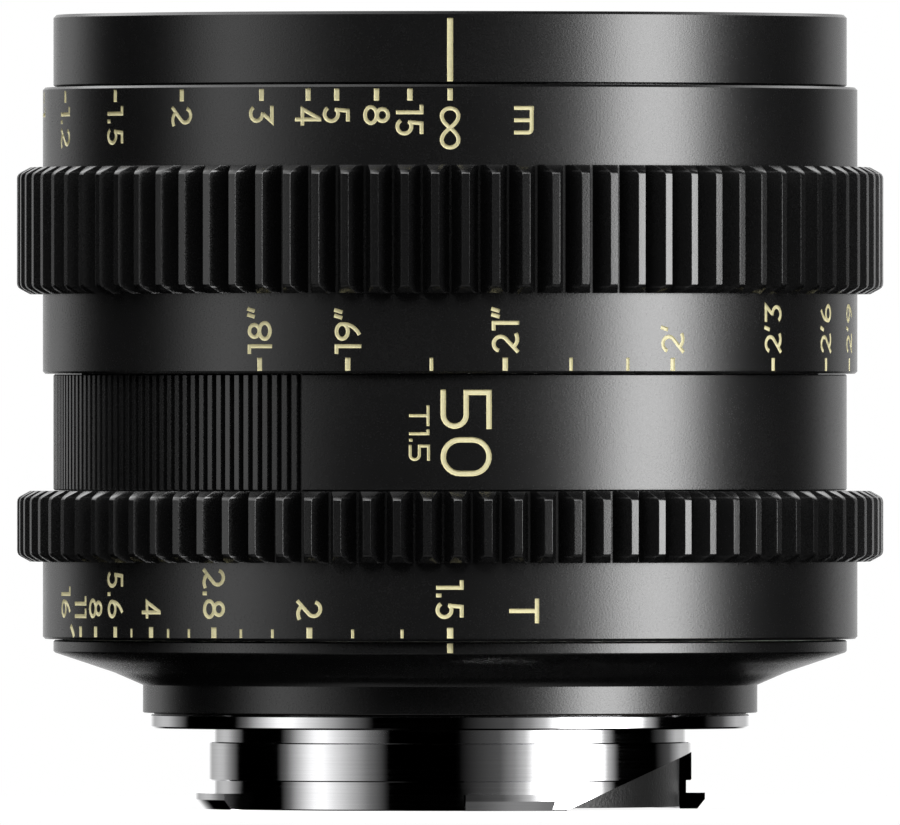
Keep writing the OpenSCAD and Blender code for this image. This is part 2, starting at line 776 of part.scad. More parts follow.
module iris_cover_ring() {
  color([0.1, 0.1, 0.1]) difference() {
    translate([0, 0, cover_z]) cylinder(r = cell_bore_r - seat_fit, h = cover_t);
    translate([0, 0, cover_z - 1]) cylinder(r = blade_in_r + 0.8, h = 4);
    translate([-cell_bore_r, -0.6, cover_z + cover_t - 0.35]) cube([2 * cell_bore_r, 1.2, cover_t]);
  }
}

module rear_cell() {
  bore_r = rear_glass_r + seat_fit;
  ring_bore = rear_ring_r + seat_fit;
  flange_rim_r = rear_spigot_r + rear_flange;
  flange_top = unit_low - 0.02;
  stop_r = blade_in_r - 0.1;
  top = plate_rise - 0.05;
  stop_low = top - 0.45;
  color([0.1, 0.1, 0.1]) translate([0, 0, unit_z]) turned([
    [ring_bore, rear_low], [rear_cell_r - 0.2, rear_low], [rear_cell_r, rear_low + 0.2],
    [rear_cell_r, flange_top - 0.48], [flange_rim_r, flange_top - 0.48], [flange_rim_r, flange_top],
    [rear_spigot_r, flange_top], [rear_spigot_r, top], [stop_r, top], [stop_r, stop_low],
    [bore_r, stop_low], [bore_r, rear_seat], [ring_bore, rear_seat]
  ]);
}

module fourth_element() {
  low = rear_cement - sag(rear_glass_r, rear_cement_curve) - 1;
  lens_glass(
    rear_glass_r, low, plate_rise - 0.55, fourth_vertex, -fourth_curve, rear_cement, rear_cement_curve
  );
}

module fifth_element() {
  lens_glass(
    rear_glass_r, fifth_back - 1, rear_cement + 1,
    rear_cement - cement_t, rear_cement_curve, fifth_back, -fifth_back_curve
  );
}

module rear_spacer() {
  bore_r = rear_glass_r - 1.1;
  low = sixth_vertex + glass_gap;
  top = fifth_back - glass_gap;
  color([0.1, 0.1, 0.1]) translate([0, 0, unit_z]) turned([
    [bore_r, low - sag(bore_r, sixth_curve)], [rear_glass_r, low - sag(rear_glass_r, sixth_curve)],
    [rear_glass_r, top + sag(rear_glass_r, fifth_back_curve)], [bore_r, top + sag(bore_r, fifth_back_curve)]
  ]);
}

module sixth_element() {
  lens_glass(
    rear_glass_r, sixth_back - 1, sixth_vertex + 1, sixth_vertex, sixth_curve, sixth_back, -sixth_back_curve
  );
}

module rear_retaining_ring() {
  bore_r = rear_glass_r - 1.3;
  glass_z = sixth_back - glass_gap;
  top = rear_seat - seat_fit;
  low = rear_low + 0.8;
  color([0.1, 0.1, 0.1]) translate([0, 0, unit_z]) difference() {
    turned([
      [bore_r, glass_z + sag(bore_r, sixth_back_curve)], [rear_glass_r, top], [rear_ring_r, top],
      [rear_ring_r, low], [bore_r + 0.7, low]
    ]);
    translate([-rear_ring_r, -0.6, low - 0.6]) cube([2 * rear_ring_r, 1.2, 1.4]);
  }
}

// Iris works

// Centre of a drive pin in the turning actuator, for a turn of the iris ring
function turned_by(p, a) = [p.x * cos(a) - p.y * sin(a), p.x * sin(a) + p.y * cos(a)];

function drive_point(turn) = turned_by(
  [pivot_r, 0] + polar(tail_length, tail_dir + blade_swing * turn / iris_throw), -turn
);

function drive_side(turn) =
  let (d = drive_point(turn + 0.5) - drive_point(turn - 0.5))
    [-d.y, d.x] / norm(d);

module actuator_slot() {
  steps = 18;
  half_w = blade_pin_r + 0.1;
  turns = [for (i = [0 : steps]) -2.4 + i * (iris_throw + 4.8) / steps];
  polygon(concat(
    [for (i = [0 : steps]) drive_point(turns[i]) + half_w * drive_side(turns[i])],
    [for (i = [steps : -1 : 0]) drive_point(turns[i]) - half_w * drive_side(turns[i])]
  ));
}

module iris_actuator() {
  color([0.7, 0.6, 0.35]) difference() {
    translate([0, 0, actuator_z]) cylinder(r = cell_bore_r - 0.4, h = actuator_t);
    translate([0, 0, actuator_z - 1]) cylinder(r = blade_in_r + 0.6, h = 4);
    for (i = [0 : blade_count - 1]) {
      rotate([0, 0, i * 360 / blade_count]) translate([0, 0, actuator_z - 1]) {
        linear_extrude(3) actuator_slot();
      }
    }
    at_azimuth(drive_az) for (side = [-1.9, 1.9]) {
      translate([cell_bore_r - 1.1, side, actuator_z + 0.15]) cylinder(r = 0.35, h = 3);
    }
  }
}

module iris_drive_arm() {
  fork_half = drive_pin_r + 0.06;
  color([0.6, 0.6, 0.6]) at_azimuth(drive_az) difference() {
    union() {
      translate([cell_bore_r - 1.8, -arm_w / 2, actuator_top]) {
        cube([arm_out_r - cell_bore_r + 1.5, arm_w, arm_t]);
      }
      intersection() {
        translate([cell_bore_r, -arm_w / 2, arm_low]) cube([5, arm_w, actuator_top + arm_t - arm_low]);
        turned([
          [arm_in_r, arm_low], [arm_out_r, arm_low],
          [arm_out_r, actuator_top + arm_t], [arm_in_r, actuator_top + arm_t]
        ]);
      }
    }
    radial_pin(fork_half, cell_bore_r, arm_out_r + 2, drive_pin_z);
    translate([cell_bore_r + 0.5, -fork_half, arm_low - 1]) {
      cube([6, 2 * fork_half, drive_pin_z - arm_low + 1]);
    }
    for (side = [-1.9, 1.9]) {
      translate([cell_bore_r - 1.1, side, actuator_top - 1]) cylinder(r = 0.4, h = 3);
      translate([cell_bore_r - 1.1, side, actuator_top + 0.3]) cylinder(r = 0.65, h = 3);
    }
  }
}

module arm_screws() {
  color([0.6, 0.6, 0.6]) at_azimuth(drive_az) for (side = [-1.9, 1.9]) {
    translate([cell_bore_r - 1.1, side, actuator_top]) {
      translate([0, 0, -0.62]) cylinder(r = 0.34, h = 1);
      translate([0, 0, 0.31]) cylinder(r = 0.6, h = 0.27);
    }
  }
}

// One blade on its own level, with a pivot pin below and a drive pin above
module blade(index) {
  z = blade_z + index * blade_pitch;
  tail = polar(tail_length, tail_dir);
  color([0.2, 0.2, 0.2]) rotate([0, 0, index * 360 / blade_count]) {
    translate([0, 0, z]) rotate([0, 0, -4]) rotate_extrude(angle = blade_arc + 4) {
      translate([blade_in_r, 0]) square([blade_out_r - blade_in_r, blade_t]);
    }
    translate([pivot_r, 0, z]) cylinder(r = 1.4, h = blade_t);
    translate([pivot_r, 0, z]) rotate([0, 0, tail_dir]) translate([0, -0.75, 0]) {
      cube([tail_length, 1.5, blade_t]);
    }
    translate([pivot_r + tail.x, tail.y, z]) cylinder(r = 0.75, h = blade_t);
    translate([pivot_r, 0, plate_z + 0.1]) cylinder(r = blade_pin_r, h = z + blade_t - plate_z - 0.1);
    translate([pivot_r + tail.x, tail.y, z]) cylinder(r = blade_pin_r, h = actuator_top - 0.1 - z);
  }
}

module iris_blade_01() { blade(0); }
module iris_blade_02() { blade(1); }
module iris_blade_03() { blade(2); }
module iris_blade_04() { blade(3); }
module iris_blade_05() { blade(4); }
module iris_blade_06() { blade(5); }
module iris_blade_07() { blade(6); }
module iris_blade_08() { blade(7); }
module iris_blade_09() { blade(8); }
module iris_blade_10() { blade(9); }
module iris_blade_11() { blade(10); }
module iris_blade_12() { blade(11); }

bayonet_mount();
mount_screws();
flange_shim();
rear_baffle();
rear_housing();
index_bead();
guide_barrel();
guide_grub_screws();
middle_sleeve();
front_ring();
front_trim_ring();
focus_stop_pin();
focus_ring();
cam_sleeve();
cam_screws();
focus_glide_ring();
iris_glide_ring();
iris_ring();
iris_drive_pin();
lens_barrel();
cam_followers();
front_cell();
front_bezel();
front_retaining_ring();
front_element();
front_spacer();
second_element();
third_element();
iris_base_plate();
iris_cover_ring();
rear_cell();
fourth_element();
fifth_element();
rear_spacer();
sixth_element();
rear_retaining_ring();
iris_actuator();
iris_drive_arm();
arm_screws();
iris_blade_01();
iris_blade_02();
iris_blade_03();
iris_blade_04();
iris_blade_05();
iris_blade_06();
iris_blade_07();
iris_blade_08();
iris_blade_09();
iris_blade_10();
iris_blade_11();
iris_blade_12();
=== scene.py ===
"""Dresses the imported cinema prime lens: engraved scales, metal finishes, glass and a studio."""

import json
import math

import bmesh
import bpy
from bpy.props import FloatProperty, FloatVectorProperty, IntProperty, PointerProperty
from mathutils import Matrix, Vector


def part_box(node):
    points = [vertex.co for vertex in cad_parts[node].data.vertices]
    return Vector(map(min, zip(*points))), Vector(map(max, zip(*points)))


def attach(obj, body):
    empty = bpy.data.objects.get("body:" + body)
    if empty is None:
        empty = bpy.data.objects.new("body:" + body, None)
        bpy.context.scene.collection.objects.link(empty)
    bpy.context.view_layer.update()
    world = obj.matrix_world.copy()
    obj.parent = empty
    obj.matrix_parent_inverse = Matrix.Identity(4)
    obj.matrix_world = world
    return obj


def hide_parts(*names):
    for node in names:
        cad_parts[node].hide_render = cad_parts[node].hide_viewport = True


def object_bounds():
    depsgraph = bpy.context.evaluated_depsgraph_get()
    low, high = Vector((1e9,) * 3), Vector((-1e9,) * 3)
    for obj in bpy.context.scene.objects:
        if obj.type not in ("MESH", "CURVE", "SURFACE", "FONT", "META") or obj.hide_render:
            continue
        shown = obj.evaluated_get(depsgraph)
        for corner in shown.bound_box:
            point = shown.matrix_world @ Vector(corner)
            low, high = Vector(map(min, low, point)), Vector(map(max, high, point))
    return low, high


bl_info = {
    "name": "Cinema Prime Lens",
    "version": (1, 0, 0),
    "blender": (4, 5, 0),
    "location": "View3D > Sidebar > Lens",
    "description": "Engraved scales, metal finishes, glass and a studio for the packed lens",
    "category": "Object",
}

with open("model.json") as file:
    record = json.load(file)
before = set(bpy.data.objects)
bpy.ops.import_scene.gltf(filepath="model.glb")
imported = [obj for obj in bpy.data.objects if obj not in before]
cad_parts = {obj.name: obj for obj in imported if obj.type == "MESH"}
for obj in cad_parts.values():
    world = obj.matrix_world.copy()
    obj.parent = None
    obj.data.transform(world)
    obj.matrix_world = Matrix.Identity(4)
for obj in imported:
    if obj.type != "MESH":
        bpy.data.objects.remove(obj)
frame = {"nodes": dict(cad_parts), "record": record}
CAD_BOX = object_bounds()
MM = 0.001


def top_of(node):
    """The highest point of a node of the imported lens, in metres."""
    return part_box(node)[1].z


def foot_of(node):
    """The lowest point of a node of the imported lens, in metres."""
    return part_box(node)[0].z


def length(name, default, description):
    """A length that a user may change, in metres."""
    return FloatProperty(
        name=name, description=description, default=default, unit="LENGTH", precision=5
    )


def share(name, default, description):
    """A plain number between 0 and 1 that a user may change."""
    return FloatProperty(
        name=name, description=description, default=default, min=0.0, max=1.0
    )


def colour(name, default, description):
    """A colour that a user may change."""
    return FloatVectorProperty(
        name=name,
        description=description,
        default=default,
        subtype="COLOR",
        size=3,
        min=0.0,
        max=1.0,
    )


def radiance(name, default, description):
    """The radiance of a light that a user may change."""
    return FloatProperty(name=name, description=description, default=default, min=0.0)


class LensSizes(bpy.types.PropertyGroup):
    """Sizes of the rings, the gear teeth and the filter thread"""

    teeth: IntProperty(
        name="Teeth", description="Teeth of each gear", default=90, min=20, max=180
    )
    tip_land: length("Tip land", 0.64 * MM, "Width of a tooth at its tip")
    root_land: length("Root land", 0.2 * MM, "Width of a gap at its bottom")
    tip_radius: length("Tip radius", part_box("focus_ring")[1].x, "Gear outside")
    root_radius: length("Root radius", 34.7 * MM, "Bottom of the tooth gaps")
    band_radius: length("Band radius", 34.6 * MM, "Engraved bands of the turning rings")
    end_bevel: length("End bevel", 1.1 * MM, "Height of the bevel at the tooth ends")
    edge_round: length("Edge round", 0.025 * MM, "Rounding of the tooth edges")
    barrel_radius: length("Barrel radius", 33.7 * MM, "Fixed sleeves of the barrel")
    thread_radius: length("Thread radius", 30.6 * MM, "Bore of the filter thread")
    thread_pitch: length("Thread pitch", 0.75 * MM, "Pitch of the filter thread")


class LensMarks(bpy.types.PropertyGroup):
    """Sizes of the engraved figures and lines"""

    scale_cap: length("Scale figures", 2.36 * MM, "Height of the distance figures")
    stop_cap: length("Stop figures", 2.35 * MM, "Height of the T stop figures")
    name_cap: length("Focal figures", 4.35 * MM, "Height of the focal length figures")
    speed_cap: length("Speed figures", 1.74 * MM, "Height of the speed figures")
    stroke: share("Stroke", 0.14, "Width of a stroke as a share of the height")
    depth: length("Depth", 0.12 * MM, "Depth of the engraving")
    draft: length("Draft", 0.08 * MM, "How far the groove walls lean in")


class LensFinishes(bpy.types.PropertyGroup):
    """Colours of the finishes"""

    black_metal: colour("Black metal", (0.002, 0.002, 0.0021), "Satin anodised rings")
    gold_paint: colour("Gold paint", (0.56, 0.52, 0.315), "Fill of the engraving")
    chrome: colour("Chrome", (0.82, 0.82, 0.83), "Bayonet mount")
    steel: colour("Steel", (0.5, 0.5, 0.51), "Screws and pins")
    brass: colour("Brass", (0.72, 0.5, 0.22), "Cam sleeve, shim and actuator")
    dark_brass: colour("Dark brass", (0.012, 0.011, 0.01), "Blackened shim")
    inner_black: colour("Inner black", (0.006, 0.006, 0.006), "Matt baffles and cells")
    inner_metal: colour("Inner metal", (0.05, 0.05, 0.053), "Guide and lens barrels")
    bead: colour("Bead", (0.6, 0.02, 0.02), "Insertion bead")
    plastic: colour("Plastic", (0.78, 0.77, 0.7), "Glide rings")
    blade: colour("Blade", (0.03, 0.03, 0.033), "Iris blades")
    glass: colour("Glass", (0.97, 0.98, 0.97), "Lens elements")


class LensStudio(bpy.types.PropertyGroup):
    """Camera and light of the studio"""

    distance: length("Distance", 3.186, "Camera to the lens axis")
    focal_length: FloatProperty(
        name="Focal length",
        description="Camera focal length in millimetres",
        default=1500.0,
    )
    aim_height: length("Aim height", 26.79 * MM, "Height of the middle of the frame")
    soft_light: radiance("Soft light", 10.0, "Radiance of the main softbox")
    top_light: radiance("Top light", 1.9, "Radiance of the light above on the left")
    front_light: radiance("Front light", 5.5, "Radiance of the light above the camera")
    back_light: radiance("Back light", 2.2, "Radiance of the light above behind the lens")
    low_light: radiance("Low light", 0.26, "Radiance of the light from below")


# Strokes of the figures

ARC_STEP = 14  # degrees between the points of an arc
LOOP_STEPS = 26  # points along half of the sign for far away


def arc(x, y, rx, ry, start, end):
    """Points of an arc between two angles in degrees."""
    steps = max(2, math.ceil(abs(end - start) / ARC_STEP))
    turns = [math.radians(start + (end - start) * i / steps) for i in range(steps + 1)]
    return [(x + rx * math.cos(t), y + ry * math.sin(t)) for t in turns]


def ellipse(x, y, rx, ry):
    """A closed stroke."""
    return arc(x, y, rx, ry, 0, 360)[:-1], True


def line(*points):
    """An open stroke through points."""
    return list(points), False


def turned_over(strokes, x, y):
    """Strokes turned half round about a point."""
    return [
        ([(2 * x - u, 2 * y - v) for u, v in path], closed) for path, closed in strokes
    ]


def eight_on_side(first, last):
    """Half of the sign for far away."""
    turns = [first + (last - first) * i / LOOP_STEPS for i in range(LOOP_STEPS + 1)]
    near = [1 / (1 + math.sin(t) ** 2) for t in turns]
    return [
        (0.83 + 0.7 * n * math.cos(t), 0.5 + 0.42 * n * math.sin(2 * t))
        for n, t in zip(near, turns)
    ]


SIX = [
    ellipse(0.35, 0.295, 0.265, 0.21),
    line(*arc(0.74, 0.33, 0.655, 0.655, 178, 114)),
]
PRIME = [(0.13, 1.0), (0.04, 0.7)]

# Each figure has its width and its strokes, for a height of 1
SCALE_FIGURES = {
    "0": (0.72, [ellipse(0.36, 0.5, 0.275, 0.415)]),
    "1": (0.36, [line((0.0, 0.915), (0.275, 0.915), (0.275, 0.0))]),
    "2": (
        0.74,
        [
            line(*arc(0.36, 0.66, 0.255, 0.255, 165, -40), (0.06, 0.03)),
            line(
                (0.25, 0.2), (0.36, 0.11), (0.46, 0.07), (0.56, 0.065), (0.65, 0.085), (0.74, 0.12)
            ),
        ],
    ),
    "3": (
        0.645,
        [
            line((0.03, 0.915), (0.6, 0.915), (0.31, 0.56)),
            line((0.27, 0.56), *arc(0.31, 0.3, 0.255, 0.24, 82, -150)),
        ],
    ),
    "4": (
        0.76,
        [
            line((0.52, 0.0), (0.52, 1.0)),
            line((0.5, 0.94), (0.15, 0.285), (0.74, 0.285)),
        ],
    ),
    "5": (
        0.68,
        [
            line((0.6, 0.915), (0.215, 0.915), (0.17, 0.43)),
            line(*arc(0.33, 0.3, 0.25, 0.25, 140, -150)),
        ],
    ),
    "6": (0.7, SIX),
    "7": (0.66, [line((0.0, 0.915), (0.58, 0.915), (0.2, 0.0))]),
    "8": (
        0.74,
        [ellipse(0.37, 0.715, 0.215, 0.2), ellipse(0.37, 0.295, 0.285, 0.21)],
    ),
    "9": (0.7, turned_over(SIX, 0.35, 0.5)),
    ".": (0.2, [line((0.1, 0.0), (0.1, 0.19))]),
    "'": (0.2, [line(*PRIME)]),
    '"': (0.4, [line(*PRIME), line(*[(x + 0.2, y) for x, y in PRIME])]),
    "~": (
        1.66,
        [
            line(*eight_on_side(0.0, math.pi)),
            line(*eight_on_side(math.pi - 0.12, 2 * math.pi + 0.12)),
        ],
    ),
    "m": (
        1.045,
        [
            line((0.085, 0.0), (0.085, 0.72)),
            line((0.085, 0.635), *arc(0.83, 0.505, 0.13, 0.13, 90, 0), (0.96, 0.0)),
            line((0.52, 0.635), (0.52, 0.0)),
        ],
    ),
    "T": (
        0.8,
        [line((0.0, 0.915), (0.8, 0.915)), line((0.4, 0.915), (0.4, 0.0))],
    ),
}

WIDE_FIVE = line(
    (0.765, 0.9435),
    (0.0565, 0.9435),
    (0.0565, 0.5),
    *arc(0.486, 0.278, 0.222, 0.222, 90, -90),
    (0.0, 0.056)
)
WIDE_NOUGHT = (
    arc(0.3825, 0.6174, 0.326, 0.326, 0, 180)
    + arc(0.3825, 0.3826, 0.326, 0.326, 180, 360),
    True,
)
WIDE_FIGURES = {
    "5": (0.765, [WIDE_FIVE]),
    "0": (0.765, [WIDE_NOUGHT]),
    "T": (1.0, [line((0.0, 0.92), (1.0, 0.92)), line((0.5, 0.92), (0.5, 0.0))]),
    "1": (0.3, [line((0.0, 0.92), (0.22, 0.92), (0.22, 0.0))]),
    ".": (0.16, [line((0.08, 0.0), (0.08, 0.17))]),
}


# Shape of the engraving cutters, in mm
STEP = 1.2  # longest piece of a stroke
LIFT = 0.3  # height over the band
LIP = 0.015  # how far the upright walls reach into the band
LAYER_STEP = 0.004  # the second layer goes this much deeper, so that no faces meet
GROOVE_DEPTH = 0.5  # depth of a bare slot and of the grip's grooves
SLOT_DRAFT = 0.35  # lean of a slot's walls, as a share of its width
SLOT_LAYER = 2


class Engraving:
    """Strokes laid on a round band, each with its own width.

    Crossing strokes go in two painted layers, slots in a bare one.
    """

    def __init__(self, radius):
        self.radius = radius / MM
        self.layers = ([], [], [])

    def add(self, layer, points, closed, width):
        self.layers[layer].append((points, closed, width))

    def along(self, azimuth):
        """The way round the band to an angle in degrees."""
        return math.radians(azimuth) * self.radius

    def tick(self, azimuth, span, width, layer=0):
        """A line along the axis between two heights in mm."""
        s = self.along(azimuth)
        self.add(layer, [(s, height) for height in span], False, width)

    def slot(self, azimuth, span, width):
        """A deep bare groove along the axis."""
        self.tick(azimuth, span, width, SLOT_LAYER)

    def lead(self, places, width):
        """A bent line through places given by angle and height."""
        self.add(0, [(self.along(a), z) for a, z in places], False, width)

    def text(self, words, azimuth, start, cap, style, down=True, from_end=False):
        """A word that reads along the axis, down or up, from a height in mm."""
        figures, stroke, gap = style
        widths = [figures[c][0] for c in words]
        total = sum(widths) + gap * (len(words) - 1)
        way = -1.0 if down else 1.0
        if from_end:
            start -= way * total * cap
        s = self.along(azimuth)
        at = 0.0
        for c, wide in zip(words, widths):
            for layer, (path, closed) in enumerate(figures[c][1]):
                points = [
                    (s - way * (v - 0.5) * cap, start + way * (at + u) * cap)
                    for u, v in path
                ]
                self.add(layer % SLOT_LAYER, points, closed, stroke * cap)
            at += wide + gap

    def tools(self, depth, draft):
        """The cutters of the layers, wrapped on the band."""
        cutters = []
        for layer, strokes in enumerate(self.layers):
            if strokes:
                cutter = bmesh.new()
                for width in sorted({s[2] for s in strokes}):
                    same = [s for s in strokes if s[2] == width]
                    if layer == SLOT_LAYER:
                        groove_solid(cutter, same, width, GROOVE_DEPTH, width * SLOT_DRAFT, 0)
                    else:
                        groove_solid(cutter, same, width, depth + LAYER_STEP * layer, draft, 1)
                wrap(cutter, self.radius)
                cutters.append(cutter)
        return cutters


def chain(bm, points, closed):
    """Edges through points, drawn out from one vertex."""
    tip = first = bm.verts.new(points[0])
    for point in points[1:]:
        tip = bmesh.ops.extrude_vert_indiv(bm, verts=[tip])["verts"][0]
        tip.co = point
    if closed:
        bm.edges.new((tip, first))


def groove_solid(cutter, strokes, width, depth, draft, paint):
    """Adds flat strokes to a cutter as a solid: upright walls, then a floor with leaning sides."""
    bm = bmesh.new()
    for points, closed, _ in strokes:
        chain(bm, [(s, LIFT, z) for s, z in points], closed)
    for edge in list(bm.edges):
        cuts = math.ceil(edge.calc_length() / STEP) - 1
        if cuts > 0:
            bmesh.ops.subdivide_edges(bm, edges=[edge], cuts=cuts)
    wall = bmesh.ops.extrude_edge_only(bm, edges=bm.edges[:])["geom"]
    lower = [g for g in wall if isinstance(g, bmesh.types.BMVert)]
    bmesh.ops.translate(bm, verts=lower, vec=(0, -LIFT - LIP, 0))
    bmesh.ops.recalc_face_normals(bm, faces=bm.faces)
    sheet = scratch_object(bm)
    thick = sheet.modifiers.new("stroke width", "SOLIDIFY")
    thick.thickness = width
    thick.offset = 0.0
    thick.use_even_offset = True
    solid = bmesh.new()
    solid.from_mesh(evaluated(sheet))
    discard(sheet)
    floor = [f for f in solid.faces if f.normal.y < -UPRIGHT]
    bmesh.ops.inset_region(solid, faces=floor, thickness=draft, use_even_offset=True)
    bottom = list({v for f in floor for v in f.verts})
    bmesh.ops.translate(solid, verts=bottom, vec=(0, -depth + LIP, 0))
    for face in solid.faces:
        face.material_index = paint
    mesh = bpy.data.meshes.new("groove")
    solid.to_mesh(mesh)
    solid.free()
    cutter.from_mesh(mesh)
    bpy.data.meshes.remove(mesh)


def wrap(bm, radius):
    """Rolls a flat cutter onto a cylinder; its y becomes the height over the band."""
    for v in bm.verts:
        v.co = polar(radius + v.co.y, v.co.x / radius, v.co.z)
    bmesh.ops.reverse_faces(bm, faces=bm.faces)


# Shaping

UPRIGHT = 0.9  # a face that looks this much along an axis counts as square to it
SHARP_ANGLE = math.radians(28)
ROUND_LEAN = 0.985  # a face that looks this much away from the axis counts as turned
FLANK_TILT = 0.05  # a face that looks up less than this counts as an upright flank
FLAT_AREA = 3e-7  # smallest flank that is shaded flat, in square metres
JOIN_CAD = 0.0008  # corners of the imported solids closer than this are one, in mm
JOIN_TURNED = 1e-5  # the same for the seam of a turned ring
ROOT_CLEAR = 0.05  # edges closer than this to the tooth roots stay sharp, in mm
TOOTH_EDGE = math.radians(22)  # smallest turn of an edge that is rounded


def polar(radius, azimuth, height):
    """A point from its radius, its angle from the photo side and its height."""
    return Vector((radius * math.sin(azimuth), -radius * math.cos(azimuth), height))


def scratch_object(bm, finishes=()):
    """A passing object that holds a bmesh."""
    made = bpy.data.objects.new("scratch", to_mesh(bm, finishes))
    bpy.context.scene.collection.objects.link(made)
    return made


def evaluated(made):
    """The mesh of an object with its modifiers."""
    ready = made.evaluated_get(bpy.context.evaluated_depsgraph_get())
    return bpy.data.meshes.new_from_object(ready)


def discard(made):
    """Removes a passing object with its mesh."""
    mesh = made.data
    bpy.data.objects.remove(made)
    bpy.data.meshes.remove(mesh)


def carve(bm, cutters, finishes):
    """Cuts grooves out of a solid; the cutters' faces line them with the second finish."""
    blank = scratch_object(bm, finishes)
    tools = [scratch_object(cutter, finishes) for cutter in cutters]
    for tool in tools:
        cut = blank.modifiers.new("engrave", "BOOLEAN")
        cut.operation = "DIFFERENCE"
        cut.solver = "EXACT"
        cut.object = tool
    mesh = evaluated(blank)
    for made in [blank] + tools:
        discard(made)
    return mesh


def true_round(mesh):
    """Shades turned faces round and upright flanks flat, and keeps the edges sharp."""
    mesh.shade_smooth()
    mesh.set_sharp_from_angle(angle=SHARP_ANGLE)
    normals = [n.vector.copy() for n in mesh.corner_normals]
    for face in mesh.polygons:
        axis_side = Vector((face.center.x, face.center.y, 0.0)).normalized()
        lean = face.normal.dot(axis_side)
        if abs(lean) > ROUND_LEAN:
            for loop in face.loop_indices:
                x, y, _ = mesh.vertices[mesh.loops[loop].vertex_index].co
                outward = Vector((x, y, 0.0)).normalized()
                normals[loop] = outward if lean > 0 else -outward
        elif abs(face.normal.z) < FLANK_TILT and face.area > FLAT_AREA:
            for loop in face.loop_indices:
                normals[loop] = face.normal.copy()
    mesh.normals_split_custom_set(normals)


def place(name, mesh, body, nodes):
    """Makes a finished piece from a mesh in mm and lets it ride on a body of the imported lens."""
    mesh.transform(Matrix.Scale(MM, 4))
    true_round(mesh)
    mesh.name = name
    piece = bpy.data.objects.new(name, mesh)
    bpy.context.scene.collection.objects.link(piece)
    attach(piece, body)
    if nodes:
        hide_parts(*nodes)
    return piece


def to_mesh(bm, finishes):
    """A mesh with its finishes from a bmesh."""
    mesh = bpy.data.meshes.new("piece")
    bm.to_mesh(mesh)
    bm.free()
    for finish in finishes:
        mesh.materials.append(finish)
    return mesh


def cad_copy(node):
    """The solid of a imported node, in mm, with its loose triangles joined."""
    bm = bmesh.new()
    bm.from_mesh(frame["nodes"][node].data)
    bmesh.ops.scale(bm, vec=(1 / MM,) * 3, verts=bm.verts)
    bmesh.ops.remove_doubles(bm, verts=bm.verts, dist=JOIN_CAD)
    for face in bm.faces:
        face.material_index = 0
    return bm


def turned(profile, steps=180):
    """A ring turned from a closed profile of radius and height."""
    bm = bmesh.new()
    chain(bm, [(0.0, -r, z) for r, z in profile], True)
    bmesh.ops.spin(
        bm,
        geom=bm.verts[:] + bm.edges[:],
        cent=(0, 0, 0),
        axis=(0, 0, 1),
        angle=math.tau,
        steps=steps,
        use_merge=True,
    )
    bmesh.ops.remove_doubles(bm, verts=bm.verts, dist=JOIN_TURNED)
    bmesh.ops.recalc_face_normals(bm, faces=bm.faces)
    return bm


def half_tooth(radius, sizes):
    """Half the angle of a tooth at a radius in mm, in radians; its flanks are flat."""
    root, tip = sizes.root_radius / MM, sizes.tip_radius / MM
    at_root = math.pi / sizes.teeth - sizes.root_land / MM / 2 / root
    at_tip = sizes.tip_land / MM / 2 / tip
    return at_root + (at_tip - at_root) * (radius - root) / (tip - root)


def toothed(levels, phase, sizes):
    """A ring drawn up from a circle, level by level: a height with its root and tip radius."""
    teeth = sizes.teeth
    root, tip = sizes.root_radius / MM, sizes.tip_radius / MM
    bm = bmesh.new()
    corner = bm.verts.layers.int.new("corner")
    made = bmesh.ops.create_circle(bm, segments=4 * teeth, radius=root)["verts"]
    for index, v in enumerate(made):
        v[corner] = index
    backwards = made[1].co.cross(made[0].co).z > 0

    def shape(verts, level):
        height, low, high = level
        at_root = half_tooth(root, sizes)
        at_tip = half_tooth(high if high > low else tip, sizes)
        offsets = (-at_root, -at_tip, at_tip, at_root)
        for v in verts:
            tooth, side = divmod(v[corner], 4)
            turn = math.tau * tooth / teeth + offsets[side] + math.radians(phase)
            radius = high if side in (1, 2) else low
            v.co = polar(radius, -turn if backwards else turn, height)

    ring = bm.edges[:]
    first = ring
    shape(made, levels[0])
    for level in levels[1:]:
        grown = bmesh.ops.extrude_edge_only(bm, edges=ring)["geom"]
        shape([g for g in grown if isinstance(g, bmesh.types.BMVert)], level)
        ring = [g for g in grown if isinstance(g, bmesh.types.BMEdge)]
    bmesh.ops.bridge_loops(bm, edges=first + ring)
    bmesh.ops.recalc_face_normals(bm, faces=bm.faces)
    outer = root + ROOT_CLEAR
    sharp = [
        e
        for e in bm.edges
        if min(v.co.xy.length for v in e.verts) > outer
        and e.calc_face_angle(0.0) > TOOTH_EDGE
        and e.is_convex
    ]
    bmesh.ops.bevel(
        bm,
        geom=sharp,
        offset=sizes.edge_round / MM,
        offset_type="OFFSET",
        segments=2,
        profile=0.5,
        affect="EDGES",
        material=-1,
        clamp_overlap=True,
    )
    return bm


# Finishes

# Scale and output of each noise, with its detail and roughness
GRAIN_NOISE = (("Scale", "Grain", 2.0, 0.6), ("Cloud", "Cloudiness", 3.0, 0.55))
MARK_NOISE = {"Detail": 2.0, "Roughness": 0.5}
NOISE_RANGE = {"From Min": 0.25, "From Max": 0.75}
MARK_DRIFT = 0.012  # how fast the turning marks change on their way round
ROUGH_GRAIN = 0.03  # how far the grain shifts the roughness
ROUGH_CLOUD = 0.015  # how far the wider clouds shift it


def add(tree, kind, inputs=None, **settings):
    """A node with its settings; an input takes a value or the output that is linked to it."""
    made = tree.nodes.new(kind)
    for key, value in settings.items():
        setattr(made, key, value)
    for key, value in (inputs or {}).items():
        if isinstance(value, bpy.types.NodeSocket):
            tree.links.new(value, made.inputs[key])
        else:
            made.inputs[key].default_value = value
    return made


